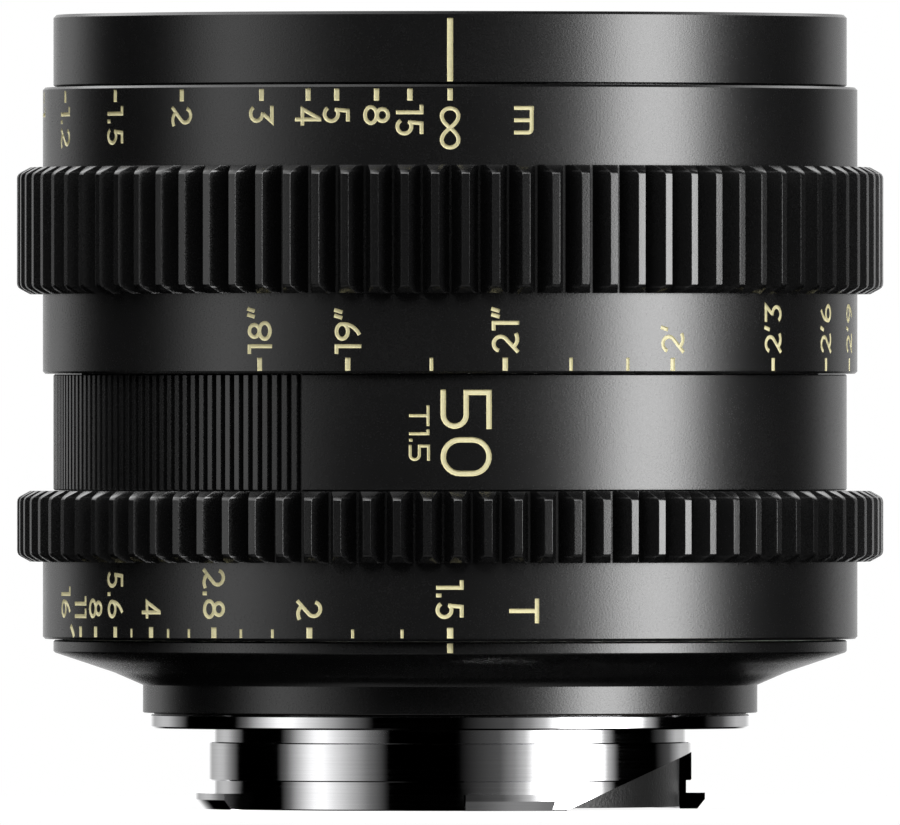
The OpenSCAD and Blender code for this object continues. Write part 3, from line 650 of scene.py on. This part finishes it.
def maths(tree, operation, *inputs):
    """The result of a calculation with values and outputs."""
    return add(tree, "ShaderNodeMath", dict(enumerate(inputs)), operation=operation).outputs[0]


def reach_of(tree, vector):
    """The length of a vector."""
    return add(tree, "ShaderNodeVectorMath", {0: vector}, operation="LENGTH").outputs["Value"]


def group(name, inputs, outputs):
    """An empty node group with named sockets; returns the tree with its two ends."""
    tree = bpy.data.node_groups.new(name, "ShaderNodeTree")
    for socket, default in inputs.items():
        made = tree.interface.new_socket(
            name=socket, in_out="INPUT", socket_type="NodeSocketFloat"
        )
        made.default_value = default
    for socket in outputs:
        tree.interface.new_socket(
            name=socket, in_out="OUTPUT", socket_type="NodeSocketFloat"
        )
    return tree, tree.nodes.new("NodeGroupInput"), tree.nodes.new("NodeGroupOutput")


def fine_grain():
    """Fine grain of an anodised or blasted surface, with wider cloudy shifts."""
    tree, ends, out = group(
        "fine grain", {"Scale": 8000.0, "Cloud": 120.0}, ("Grain", "Cloudiness")
    )
    spot = add(tree, "ShaderNodeTexCoord").outputs["Object"]
    for scale, socket, detail, rough in GRAIN_NOISE:
        noise = {"Vector": spot, "Detail": detail, "Roughness": rough}
        made = add(tree, "ShaderNodeTexNoise", {**noise, "Scale": ends.outputs[scale]})
        tree.links.new(made.outputs["Fac"], out.inputs[socket])
    return tree


def turning_marks():
    """Fine rings that a lathe tool leaves round the axis."""
    tree, ends, out = group("turning marks", {"Scale": 9000.0}, ("Marks",))
    spot = add(tree, "ShaderNodeTexCoord").outputs["Object"]
    x, y, z = add(tree, "ShaderNodeSeparateXYZ", {0: spot}).outputs
    flat = add(tree, "ShaderNodeCombineXYZ", {"X": x, "Y": y}).outputs[0]
    drift = maths(tree, "MULTIPLY", x, MARK_DRIFT)
    lines = {"X": reach_of(tree, flat), "Y": drift, "Z": z}
    rings = add(tree, "ShaderNodeCombineXYZ", lines).outputs[0]
    noise = {"Vector": rings, "Scale": ends.outputs["Scale"], **MARK_NOISE}
    made = add(tree, "ShaderNodeTexNoise", noise)
    tree.links.new(made.outputs["Fac"], out.inputs["Marks"])
    return tree


def spread(tree, source, low, high):
    """A noise value brought to a range."""
    inputs = {"Value": source, **NOISE_RANGE, "To Min": low, "To Max": high}
    return add(tree, "ShaderNodeMapRange", inputs).outputs["Result"]


def finish(
    name, tint, rough, metal=0.0, grain=8000.0, bump=3e-6, vary=0.12, marks=0.0, **sockets
):
    """A finish with grain or turning marks in its colour, roughness and relief."""
    material = bpy.data.materials.new(name)
    material.use_nodes = True
    material.diffuse_color = (*tint, 1.0)
    tree = material.node_tree
    shader = tree.nodes["Principled BSDF"]
    shader.inputs["Metallic"].default_value = metal
    for key, value in sockets.items():
        shader.inputs[key.replace("_", " ").title().replace("Ior", "IOR")].default_value = value
    fine = add(tree, "ShaderNodeGroup", node_tree=GROUPS["fine grain"])
    fine.inputs["Scale"].default_value = grain
    relief = fine.outputs["Grain"]
    if marks:
        rings = add(tree, "ShaderNodeGroup", node_tree=GROUPS["turning marks"])
        rings.inputs["Scale"].default_value = marks
        relief = rings.outputs["Marks"]
    shades = {
        "Factor": spread(tree, relief, 0.0, 1.0),
        "A": (*[c * (1 - vary) for c in tint], 1.0),
        "B": (*[min(1.0, c * (1 + vary)) for c in tint], 1.0),
    }
    shade = add(tree, "ShaderNodeMix", shades, data_type="RGBA")
    tree.links.new(shade.outputs["Result"], shader.inputs["Base Color"])
    near = spread(tree, relief, rough - ROUGH_GRAIN, rough + ROUGH_GRAIN)
    wide = spread(tree, fine.outputs["Cloudiness"], -ROUGH_CLOUD, ROUGH_CLOUD)
    tree.links.new(maths(tree, "ADD", near, wide), shader.inputs["Roughness"])
    if bump:
        raised = add(
            tree, "ShaderNodeBump", {"Strength": 1.0, "Distance": bump, "Height": relief}
        )
        tree.links.new(raised.outputs["Normal"], shader.inputs["Normal"])
    return material


GROUPS = {}
FINISH = {}


# Each finish has its name, its colour, its roughness and the rest of its look
LOOKS = {
    "black_metal": (
        "satin black anodising", "black_metal", 0.26,
        dict(
            grain=6500.0, bump=8e-6, ior=1.6, specular_ior_level=0.55,
            coat_weight=0.1, coat_ior=1.3, coat_roughness=0.55,
        ),
    ),
    "gold_paint": ("gold engraving paint", "gold_paint", 0.5, dict(grain=5000.0, vary=0.08)),
    "mount_chrome": (
        "turned chrome", "chrome", 0.06, dict(metal=1.0, marks=9000.0, bump=1.5e-7, vary=0.04),
    ),
    "screw_steel": ("plain steel", "steel", 0.3, dict(metal=1.0, grain=6000.0, bump=1e-6)),
    "brass": ("turned brass", "brass", 0.25, dict(metal=1.0, marks=6000.0, bump=1e-6)),
    "dark_brass": (
        "blackened brass", "dark_brass", 0.4, dict(metal=1.0, marks=6000.0, bump=1e-6),
    ),
    "inner_black": (
        "matt inner black", "inner_black", 0.5, dict(grain=3500.0, bump=2e-5, vary=0.5),
    ),
    "blackened_sleeve": (
        "blackened sleeve", "inner_black", 0.4, dict(grain=3600.0, bump=4e-5, vary=0.5),
    ),
    "inner_aluminium": (
        "dark turned aluminium", "inner_metal", 0.4,
        dict(marks=7000.0, bump=1e-6, ior=1.6, specular_ior_level=1.0),
    ),
    "red_bead": ("moulded red", "bead", 0.25, dict(grain=2500.0, bump=1e-6, coat_weight=0.4)),
    "glide_plastic": ("pale glide plastic", "plastic", 0.45, dict(grain=3000.0, bump=2e-6)),
    "blade_steel": ("matt blade coat", "blade", 0.48, dict(grain=7000.0, bump=2e-6)),
    "lens_glass": (
        "coated glass", "glass", 0.03,
        dict(
            grain=900.0, bump=0.0, vary=0.01, ior=1.62, transmission_weight=1.0,
            specular_tint=(0.55, 0.4, 0.95, 1.0),
        ),
    ),
}


def make_finishes(colours):
    """All the finishes of the lens, each made once."""
    GROUPS["fine grain"] = fine_grain()
    GROUPS["turning marks"] = turning_marks()
    for slot, (name, tint, rough, look) in LOOKS.items():
        FINISH[slot] = finish(name, getattr(colours, tint), rough, **look)


# Nodes whose finish differs from their slot's
OWN_FINISH = {
    "flange_shim": "dark_brass",
    "rear_baffle": "blackened_sleeve",
    "front_trim_ring": "inner_black",
    "front_cell": "inner_black",
    "front_retaining_ring": "inner_black",
    "front_spacer": "inner_black",
    "iris_base_plate": "inner_black",
    "iris_cover_ring": "inner_black",
    "rear_cell": "inner_black",
    "rear_spacer": "inner_black",
    "rear_retaining_ring": "inner_black",
}


# Scales: figures with their angles in degrees; heights and widths in mm

METRES = (
    ("~", 0.0), ("15", -5.6), ("8", -10.3), ("5", -16.0), ("4", -20.2), ("3", -27.3),
    ("2", -40.8), ("1.5", -54.8), ("1.2", -70.3), ("1", -85.0), (".9", -94.5),
    (".8", -107.7), (".7", -125.2), (".6", -149.5), (".55", -165.6), (".5", -185.5),
    (".45", -210.0),
)
FEET = (
    ('18"', -27.6), ('19"', -14.4), ('21"', 7.7), ("2'", 32.8), ("2'3", 52.0),
    ("2'6", 66.8), ("2'9", 78.0), ("3'", 91.0), ("3'6", 103.0), ("4'", 112.0),
    ("5'", 125.0), ("6'", 134.5), ("8'", 146.0), ("10'", 153.5), ("15'", 162.0),
    ("25'", 169.0), ("~", 180.0),
)
FEET_TICKS = (-2.6, 17.1, 25.6)
STOPS = (
    ("1.5", 0.0), ("2", -20.0), ("2.8", -35.1), ("4", -46.8), ("5.6", -54.8),
    ("8", -60.0), ("11", -64.6), ("16", -70.1),
)
LAST_STOP_LEAD = ((-66.9, 7.8), (-67.2, 8.16), (-68.1, 8.79))
STOP_TICKS = (-6.7, -13.7, -25.6, -30.6, -39.5, -43.4, -51.0)
LETTER_GAP = 0.09
WIDE_GAP = 0.15
METRE_LINE, METRE_TEXT, METRE_UNIT = (53.01, 54.03), 52.67, (10.9, 52.59)
FEET_LINE, FEET_TEXT = (30.30, 31.40), 31.72
STOP_LINE, STOP_FINE_LINE, STOP_TEXT = (7.80, 8.70), (7.81, 8.55), 9.37
STOP_UNIT, STOP_UNIT_CAP = (10.4, 11.15), 2.6
NAME_PLACE, NAME_STROKE = (2.3, 28.72), 0.104
SPEED_PLACE, SPEED_STROKE = (-4.4, 27.39), 0.142
FRONT_INDEX, STOP_INDEX, FEET_INDEX = (54.63, 59.96), (6.56, 7.36), (27.0, 29.7)
INDEX_WIDTH, LINE_WIDTH, FEET_TICK_WIDTH = 0.5, 0.45, 0.3
STOP_LINE_WIDTH, STOP_TICK_WIDTH = 0.52, 0.25

# Shapes of the pieces, in mm and degrees

END_RISE = 0.55  # height of a tooth's end bevel, as a share of its drop
END_ROUND = 0.35  # how far the round between bevel and tip reaches
END_STEPS = (0.0, 0.33, 0.67, 1.0)  # points along that round
BAND_CHAMFER = 0.2
FOCUS_BORE, FOCUS_RECESS, FOCUS_RECESS_DEPTH = 31.54, 33.14, 1.3
FOCUS_GEAR, FOCUS_PHASE = (36.83, 47.61), -1.95
IRIS_BORE, IRIS_GEAR_FOOT, IRIS_PHASE = 31.02, 14.13, -2.97
THREAD_FOOT, THREAD_DEPTH, THREAD_SINK = 57.1, 0.38, 0.03
THREAD_SECTION = (0.0, 0.3, 0.4, 0.7)  # heights of the thread's corners
THREAD_TURNS, THREAD_STEPS = 3, 120
GRIP_START, GRIP_PITCH, GRIP_DEPTH, GRIP_NEAR = -22.9, 1.56, 0.28, 0.03
GRIP_NARROW = 0.4  # width of a groove's floor, as a share of what it was
GRIP_SLOT, GRIP_SLOT_WIDTH = (20.0, 30.3), 0.52
SLEEVE_END, JOINT_CLOSE = 0.2, 0.06
COLLAR_RADIUS, COLLAR_BEVEL, COLLAR_EDGE = 26.1, 0.3, 0.07
COLLAR_TOP, COLLAR_LEDGE = 3.91, 3.66
BEZEL_BORE, BEZEL_RIBS, RIB_RELIEF = (20.8, 22.8), 9, 0.12
BEZEL_NECK, BEZEL_LEDGE, BEZEL_CHAMFER = 24.0, 46.9, 0.15
NEAR_RADIUS, NEAR_HEIGHT = 0.02, 0.01  # how close a corner is to the place it is known by

# Operators


def engraved(name, solid, engraving, body, node, marks):
    """Cuts an engraving into a solid and puts the piece in the place of its node."""
    cutters = engraving.tools(marks.depth / MM, marks.draft / MM)
    mesh = carve(solid, cutters, (FINISH["black_metal"], FINISH["gold_paint"]))
    return place(name, mesh, body, (node,))


def gear_levels(low, high, sizes):
    """Levels of the teeth between two heights; each end's bevel runs round into the tip."""
    root, tip = sizes.root_radius / MM, sizes.tip_radius / MM
    drop = sizes.end_bevel / MM
    rise = END_RISE * drop
    lean = math.hypot(drop, rise)
    end = [(0.0, tip - drop)]
    for t in END_STEPS:
        inward = END_ROUND * (1 - t) ** 2 * drop / lean
        along = END_ROUND * (t * t - (1 - t) ** 2 * rise / lean)
        end.append((rise + along, tip - inward))
    return [(low + z, root, r) for z, r in end] + [(high - z, root, r) for z, r in end[::-1]]


def plain(height, radius):
    """A level of a ring without teeth."""
    return height, radius, radius


class LENS_OT_finishes(bpy.types.Operator):
    """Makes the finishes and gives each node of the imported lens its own"""

    bl_idname = "lens.finishes"
    bl_label = "Finishes"

    def execute(self, context):
        make_finishes(context.scene.lens_finishes)
        for part in frame["record"]["subparts"]:
            mesh = frame["nodes"][part["node"]].data
            slot = OWN_FINISH.get(part["node"], part["material_slot"])
            mesh.materials.clear()
            mesh.materials.append(FINISH[slot])
        return {"FINISHED"}


class LENS_OT_front_ring(bpy.types.Operator):
    """Engraves the index line of the front ring and lays the filter thread in its bore"""

    bl_idname = "lens.front_ring"
    bl_label = "Front ring"

    def execute(self, context):
        sizes, marks = context.scene.lens_sizes, context.scene.lens_marks
        engraving = Engraving(sizes.barrel_radius)
        engraving.tick(0.0, FRONT_INDEX, INDEX_WIDTH)
        solid = cad_copy("front_ring")
        engraved("front_ring_engraved", solid, engraving, "barrel", "front_ring", marks)
        wall, pitch = sizes.thread_radius / MM, sizes.thread_pitch / MM
        foot, crest = wall + THREAD_SINK, wall - THREAD_DEPTH
        bm = bmesh.new()
        corners = zip((foot, crest, crest, foot), THREAD_SECTION)
        ring = [bm.verts.new((0.0, -r, THREAD_FOOT + z)) for r, z in corners]
        section = bm.faces.new(ring)
        bmesh.ops.spin(
            bm,
            geom=[section] + list(section.edges) + ring,
            cent=(0, 0, 0),
            axis=(0, 0, 1),
            dvec=(0, 0, pitch / THREAD_STEPS),
            angle=math.tau * THREAD_TURNS,
            steps=THREAD_STEPS * THREAD_TURNS,
        )
        bmesh.ops.recalc_face_normals(bm, faces=bm.faces)
        mesh = to_mesh(bm, (FINISH["black_metal"],))
        place("filter_thread", mesh, "barrel", ())
        return {"FINISHED"}


class LENS_OT_focus_ring(bpy.types.Operator):
    """Builds the geared focus ring with its metre and feet scales"""

    bl_idname = "lens.focus_ring"
    bl_label = "Focus ring"

    def execute(self, context):
        sizes, marks = context.scene.lens_sizes, context.scene.lens_marks
        low, high = foot_of("focus_ring") / MM, top_of("focus_ring") / MM
        band = sizes.band_radius / MM
        edge = band - BAND_CHAMFER
        gear_foot, gear_top = FOCUS_GEAR
        levels = [
            plain(low + FOCUS_RECESS_DEPTH, FOCUS_BORE),
            plain(low + FOCUS_RECESS_DEPTH, FOCUS_RECESS),
            plain(low, FOCUS_RECESS),
            plain(low, edge),
            plain(low + BAND_CHAMFER, band),
            plain(gear_foot, band),
            *gear_levels(gear_foot, gear_top, sizes),
            plain(gear_top, band),
            plain(high - BAND_CHAMFER, band),
            plain(high, edge),
            plain(high, FOCUS_BORE),
        ]
        solid = toothed(levels, FOCUS_PHASE, sizes)
        engraving = Engraving(sizes.band_radius)
        cap = marks.scale_cap / MM
        style = (SCALE_FIGURES, marks.stroke, LETTER_GAP)
        for words, azimuth in METRES:
            engraving.tick(azimuth, METRE_LINE, LINE_WIDTH)
            engraving.text(words, azimuth, METRE_TEXT, cap, style)
        engraving.text("m", *METRE_UNIT, cap, style)
        for words, azimuth in FEET:
            engraving.tick(azimuth, FEET_LINE, LINE_WIDTH)
            engraving.text(words, azimuth, FEET_TEXT, cap, style, down=False)
        for azimuth in FEET_TICKS:
            engraving.tick(azimuth, FEET_LINE, FEET_TICK_WIDTH)
        engraved("focus_ring_engraved", solid, engraving, "focus", "focus_ring", marks)
        return {"FINISHED"}


def deepen_grip(bm, radius):
    """Draws the floors of the grip's grooves in and narrows them, so that they stay dark."""
    for v in bm.verts:
        reach = v.co.xy.length
        if abs(reach - radius + GRIP_DEPTH) < GRIP_NEAR:
            azimuth = math.degrees(math.atan2(v.co.x, -v.co.y))
            groove = math.floor((GRIP_START - azimuth) % 360 / GRIP_PITCH) + 0.5
            middle = GRIP_START - groove * GRIP_PITCH
            off = (azimuth - middle + 180) % 360 - 180
            v.co = polar(radius - GROOVE_DEPTH, math.radians(middle + GRIP_NARROW * off), v.co.z)


def close_joints(bm, low, high):
    """Draws the ends of a sleeve out, so that no light shows through the joints beside it."""
    for v in bm.verts:
        if v.co.z > high - SLEEVE_END:
            v.co.z += JOINT_CLOSE
        elif v.co.z < low + SLEEVE_END:
            v.co.z -= JOINT_CLOSE


class LENS_OT_middle_sleeve(bpy.types.Operator):
    """Engraves the focal length and speed figures of the ribbed sleeve"""

    bl_idname = "lens.middle_sleeve"
    bl_label = "Middle sleeve"

    def execute(self, context):
        sizes, marks = context.scene.lens_sizes, context.scene.lens_marks
        engraving = Engraving(sizes.barrel_radius)
        name_style = (WIDE_FIGURES, NAME_STROKE, WIDE_GAP)
        speed_style = (WIDE_FIGURES, SPEED_STROKE, WIDE_GAP)
        engraving.text("50", *NAME_PLACE, marks.name_cap / MM, name_style)
        engraving.text("T1.5", *SPEED_PLACE, marks.speed_cap / MM, speed_style)
        engraving.tick(180.0, FEET_INDEX, INDEX_WIDTH)
        engraving.slot(GRIP_START + GRIP_PITCH / 2, GRIP_SLOT, GRIP_SLOT_WIDTH)
        solid = cad_copy("middle_sleeve")
        deepen_grip(solid, sizes.barrel_radius / MM)
        close_joints(solid, foot_of("middle_sleeve") / MM, top_of("middle_sleeve") / MM)
        engraved("middle_sleeve_engraved", solid, engraving, "barrel", "middle_sleeve", marks)
        return {"FINISHED"}


class LENS_OT_iris_ring(bpy.types.Operator):
    """Builds the geared iris ring with its T stop scale"""

    bl_idname = "lens.iris_ring"
    bl_label = "Iris ring"

    def execute(self, context):
        sizes, marks = context.scene.lens_sizes, context.scene.lens_marks
        low, high = foot_of("iris_ring") / MM, top_of("iris_ring") / MM
        band = sizes.band_radius / MM
        levels = [
            plain(low, IRIS_BORE),
            plain(low, band - BAND_CHAMFER),
            plain(low + BAND_CHAMFER, band),
            plain(IRIS_GEAR_FOOT, band),
            *gear_levels(IRIS_GEAR_FOOT, high, sizes),
            plain(high, IRIS_BORE),
        ]
        solid = toothed(levels, IRIS_PHASE, sizes)
        engraving = Engraving(sizes.band_radius)
        style = (SCALE_FIGURES, marks.stroke, LETTER_GAP)
        for words, azimuth in STOPS:
            if words == "16":
                engraving.lead(LAST_STOP_LEAD, LINE_WIDTH)
            else:
                engraving.tick(azimuth, STOP_LINE, STOP_LINE_WIDTH)
            engraving.text(words, azimuth, STOP_TEXT, marks.stop_cap / MM, style, from_end=True)
        for azimuth in STOP_TICKS:
            engraving.tick(azimuth, STOP_FINE_LINE, STOP_TICK_WIDTH)
        engraving.text("T", *STOP_UNIT, STOP_UNIT_CAP, style)
        engraved("iris_ring_engraved", solid, engraving, "iris", "iris_ring", marks)
        return {"FINISHED"}


def sharpen_collar(bm, low):
    """Gives the collar a fine lower edge and a slightly lower shoulder."""
    for v in bm.verts:
        reach = v.co.xy.length
        beside = abs(reach - COLLAR_RADIUS) < NEAR_RADIUS
        within = abs(reach - COLLAR_RADIUS + COLLAR_BEVEL) < NEAR_RADIUS
        if within and abs(v.co.z - low) < NEAR_HEIGHT:
            grow = (COLLAR_RADIUS - COLLAR_EDGE) / reach
            v.co = (v.co.x * grow, v.co.y * grow, v.co.z)
        elif beside and abs(v.co.z - low - COLLAR_BEVEL) < NEAR_HEIGHT:
            v.co.z = low + COLLAR_EDGE
        elif beside and abs(v.co.z - COLLAR_TOP) < NEAR_HEIGHT:
            v.co.z = COLLAR_LEDGE


class LENS_OT_rear_housing(bpy.types.Operator):
    """Engraves the T stop index of the rear housing"""

    bl_idname = "lens.rear_housing"
    bl_label = "Rear housing"

    def execute(self, context):
        sizes, marks = context.scene.lens_sizes, context.scene.lens_marks
        engraving = Engraving(sizes.barrel_radius)
        engraving.tick(0.0, STOP_INDEX, INDEX_WIDTH)
        solid = cad_copy("rear_housing")
        sharpen_collar(solid, foot_of("rear_housing") / MM)
        engraved("rear_housing_engraved", solid, engraving, "barrel", "rear_housing", marks)
        return {"FINISHED"}


class LENS_OT_front_bezel(bpy.types.Operator):
    """Turns the ribbed bezel round the front glass"""

    bl_idname = "lens.front_bezel"
    bl_label = "Front bezel"

    def execute(self, context):
        low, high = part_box("front_bezel")
        foot, top, outer = low.z / MM, high.z / MM, high.x / MM
        narrow, wide = BEZEL_BORE
        profile = [(outer - BEZEL_CHAMFER, top), (wide, top)]
        for i in range(BEZEL_RIBS):
            down = 1 - (i + 1) / BEZEL_RIBS
            r = narrow + (wide - narrow) * (down + 1 / BEZEL_RIBS)
            z = foot + (top - foot) * down
            profile += [(r + RIB_RELIEF, z + RIB_RELIEF), (narrow + (wide - narrow) * down, z)]
        profile += [
            (BEZEL_NECK, foot),
            (BEZEL_NECK, BEZEL_LEDGE),
            (outer, BEZEL_LEDGE),
            (outer, top - BEZEL_CHAMFER),
        ]
        mesh = to_mesh(turned(profile), (FINISH["inner_black"],))
        place("front_bezel_ribbed", mesh, "optics", ("front_bezel",))
        return {"FINISHED"}


# Camera and floor, in metres

WHITE = (1, 1, 1, 1)
CAMERA_SIDE = -0.00001
CLIP_END = 50.0
FLOOR_RADIUS, FLOOR_SIDES = 0.11, 64
FLOOR_FADE = 0.6 * FLOOR_RADIUS  # from here outwards the floor fades into the backdrop
FLOOR_TINT, FLOOR_GLOW = (0.6, 0.6, 0.6, 1.0), 1.3
FLOOR_WHITE = 0.7  # share of plain white that the camera sees


class LENS_OT_stage(bpy.types.Operator):
    """Adds the floor, the studio light and the camera at the photo's angle"""

    bl_idname = "lens.stage"
    bl_label = "Stage"

    def execute(self, context):
        studio = context.scene.lens_studio
        make_floor()
        make_world(context.scene, studio)
        data = bpy.data.cameras.new("camera")
        data.lens = studio.focal_length
        data.clip_end = CLIP_END
        camera = bpy.data.objects.new("camera", data)
        camera.location = (CAMERA_SIDE, -studio.distance, studio.aim_height)
        camera.rotation_euler = (math.pi / 2, 0.0, 0.0)
        context.scene.collection.objects.link(camera)
        context.scene.camera = camera
        context.scene.view_settings.view_transform = "Standard"
        return {"FINISHED"}


def make_floor():
    """A pale floor that shows white to the camera and keeps the shadow of the lens."""
    bm = bmesh.new()
    bmesh.ops.create_circle(bm, cap_ends=True, segments=FLOOR_SIDES, radius=FLOOR_RADIUS)
    bmesh.ops.translate(bm, verts=bm.verts, vec=(0, 0, CAD_BOX[0][2]))
    material = bpy.data.materials.new("pale floor")
    material.use_nodes = True
    tree = material.node_tree
    tree.nodes.clear()
    path = add(tree, "ShaderNodeLightPath").outputs
    back = add(tree, "ShaderNodeNewGeometry").outputs["Backfacing"]
    cloth = add(tree, "ShaderNodeBsdfDiffuse", {"Color": FLOOR_TINT}).outputs[0]
    bright = add(tree, "ShaderNodeEmission", {"Color": WHITE, "Strength": FLOOR_GLOW}).outputs[0]
    clear = add(tree, "ShaderNodeBsdfTransparent").outputs[0]
    blend = maths(tree, "MULTIPLY", path["Is Camera Ray"], FLOOR_WHITE)
    mixed = add(tree, "ShaderNodeMixShader", {0: blend, 1: cloth, 2: bright}).outputs[0]
    reach = reach_of(tree, add(tree, "ShaderNodeTexCoord").outputs["Object"])
    fade = {"Value": reach, "From Min": FLOOR_FADE, "From Max": FLOOR_RADIUS}
    edge = add(tree, "ShaderNodeMapRange", fade).outputs["Result"]
    hidden = maths(tree, "MAXIMUM", back, edge)
    unseen = maths(tree, "MAXIMUM", path["Is Glossy Ray"], hidden)
    sided = add(tree, "ShaderNodeMixShader", {0: unseen, 1: mixed, 2: clear})
    add(tree, "ShaderNodeOutputMaterial", {"Surface": sided.outputs[0]})
    mesh = to_mesh(bm, (material,))
    floor = bpy.data.objects.new("floor", mesh)
    bpy.context.scene.collection.objects.link(floor)


# Light round the lens: angle from the camera side in degrees, and the share of the main softbox
ROUND_LIGHT = (
    (-180, 0.135), (-160, 0.044), (-146, 0.058), (-140, 0.055), (-131, 0.024), (-122, 0.0),
    (-91, 0.0), (-85, 0.015), (-78, 0.06), (-70, 0.12), (-64, 0.13), (-58, 0.092),
    (-50, 0.055), (-40, 0.018), (-30, 0.0), (4, 0.0), (24, 0.009), (31, 0.028), (37, 0.065),
    (41, 0.15), (45, 0.4), (50, 0.88), (57, 1.0), (69, 0.94), (75, 0.34), (81, 0.06), (88, 0.0),
    (116, 0.0), (130, 0.008), (145, 0.053), (160, 0.057), (180, 0.135),
)


def ramp(tree, stops):
    """A colour ramp through grey stops."""
    made = add(tree, "ShaderNodeValToRGB")
    band = made.color_ramp
    band.interpolation = "LINEAR"
    while len(band.elements) > 1:
        band.elements.remove(band.elements[0])
    band.elements[0].position = stops[0][0]
    band.elements[0].color = (*[stops[0][1]] * 3, 1.0)
    for at, value in stops[1:]:
        band.elements.new(at).color = (*[value] * 3, 1.0)
    return made


def lit(tree, before, strength, *shares):
    """Adds a light, as the product of its shares, to the lights before it."""
    part = shares[0]
    for share_of in shares[1:]:
        part = maths(tree, "MULTIPLY", part, share_of)
    return maths(tree, "MULTIPLY_ADD", part, strength, before)


def make_world(scene, studio):
    """Softboxes and a pale backdrop all round, with lights above and below."""
    world = bpy.data.worlds.new("studio")
    scene.world = world
    world.use_nodes = True
    tree = world.node_tree
    tree.nodes.clear()
    spot = add(tree, "ShaderNodeTexCoord").outputs["Generated"]
    x, y, z = add(tree, "ShaderNodeSeparateXYZ", {0: spot}).outputs
    turn = maths(tree, "ARCTAN2", x, maths(tree, "MULTIPLY", y, -1.0))

    def over(source, low, high, stops):
        """The share of a light along one measure of its direction."""
        made = ramp(tree, [((at - low) / (high - low), value) for at, value in stops])
        measure = {"Value": source, "From Min": low, "From Max": high}
        brought = add(tree, "ShaderNodeMapRange", measure)
        tree.links.new(brought.outputs["Result"], made.inputs["Fac"])
        return made.outputs["Color"]

    def by_turn(stops):
        return over(turn, -math.pi, math.pi, [(math.radians(a), v) for a, v in stops])

    def by_height(stops):
        return over(z, -1.0, 1.0, stops)

    light = lit(
        tree, 0.0, studio.soft_light, by_turn(ROUND_LIGHT),
        by_height(((-0.3, 0.0), (-0.15, 1.0), (0.36, 1.0), (0.7, 0.0))),
    )
    light = lit(
        tree, light, studio.top_light,
        over(x, -1.0, 1.0, ((-0.4, 1.0), (0.1, 0.0))),
        by_height(((0.32, 0.0), (0.48, 1.0))),
        by_turn((
            (-180, 0.0), (-163, 0.2), (-146, 0.42), (-130, 0.75), (-110, 1.0),
            (90, 1.0), (180, 0.0),
        )),
    )
    light = lit(
        tree, light, studio.front_light,
        by_turn(((-50, 0.0), (-29, 1.0), (29, 1.0), (50, 0.0))),
        by_height(((0.44, 0.0), (0.54, 1.0), (0.7, 1.0), (0.8, 0.0))),
    )
    light = lit(
        tree, light, studio.back_light,
        by_turn(((-150, 1.0), (-115, 0.0), (115, 0.0), (150, 1.0))),
        by_height(((0.36, 0.0), (0.5, 1.0), (0.75, 1.0), (0.9, 0.0))),
    )
    light = lit(
        tree, light, studio.low_light,
        by_turn(((-110, 0.0), (-80, 1.0), (80, 1.0), (110, 0.0))),
        by_height(((-0.985, 0.0), (-0.95, 1.0), (-0.8, 1.0), (-0.7, 0.0))),
    )
    path = add(tree, "ShaderNodeLightPath").outputs
    straight = maths(tree, "MAXIMUM", path["Is Camera Ray"], path["Is Transmission Ray"])
    mix = {"Factor": straight, "A": light, "B": 1.0}
    shown = add(tree, "ShaderNodeMix", mix, data_type="FLOAT").outputs["Result"]
    glow = add(tree, "ShaderNodeBackground", {"Color": WHITE, "Strength": shown})
    add(tree, "ShaderNodeOutputWorld", {"Surface": glow.outputs[0]})


STEPS = (
    LENS_OT_finishes,
    LENS_OT_front_ring,
    LENS_OT_focus_ring,
    LENS_OT_middle_sleeve,
    LENS_OT_iris_ring,
    LENS_OT_rear_housing,
    LENS_OT_front_bezel,
    LENS_OT_stage,
)


class LENS_PT_panel(bpy.types.Panel):
    """Lists the steps that dress the lens"""

    bl_label = "Lens"
    bl_idname = "LENS_PT_panel"
    bl_space_type = "VIEW_3D"
    bl_region_type = "UI"
    bl_category = "Lens"

    def draw(self, context):
        for step in STEPS:
            self.layout.operator(step.bl_idname)


GROUPS_OF_VALUES = {
    "lens_sizes": LensSizes,
    "lens_marks": LensMarks,
    "lens_finishes": LensFinishes,
    "lens_studio": LensStudio,
}
CLASSES = (*GROUPS_OF_VALUES.values(), *STEPS, LENS_PT_panel)


def register():
    for cls in CLASSES:
        bpy.utils.register_class(cls)
    for name, cls in GROUPS_OF_VALUES.items():
        setattr(bpy.types.Scene, name, PointerProperty(type=cls))


def unregister():
    for name in GROUPS_OF_VALUES:
        delattr(bpy.types.Scene, name)
    for cls in reversed(CLASSES):
        bpy.utils.unregister_class(cls)


def main():
    register()
    bpy.ops.lens.finishes()
    bpy.ops.lens.front_ring()
    bpy.ops.lens.focus_ring()
    bpy.ops.lens.middle_sleeve()
    bpy.ops.lens.iris_ring()
    bpy.ops.lens.rear_housing()
    bpy.ops.lens.front_bezel()
    bpy.ops.lens.stage()


if __name__ == "__main__":
    main()
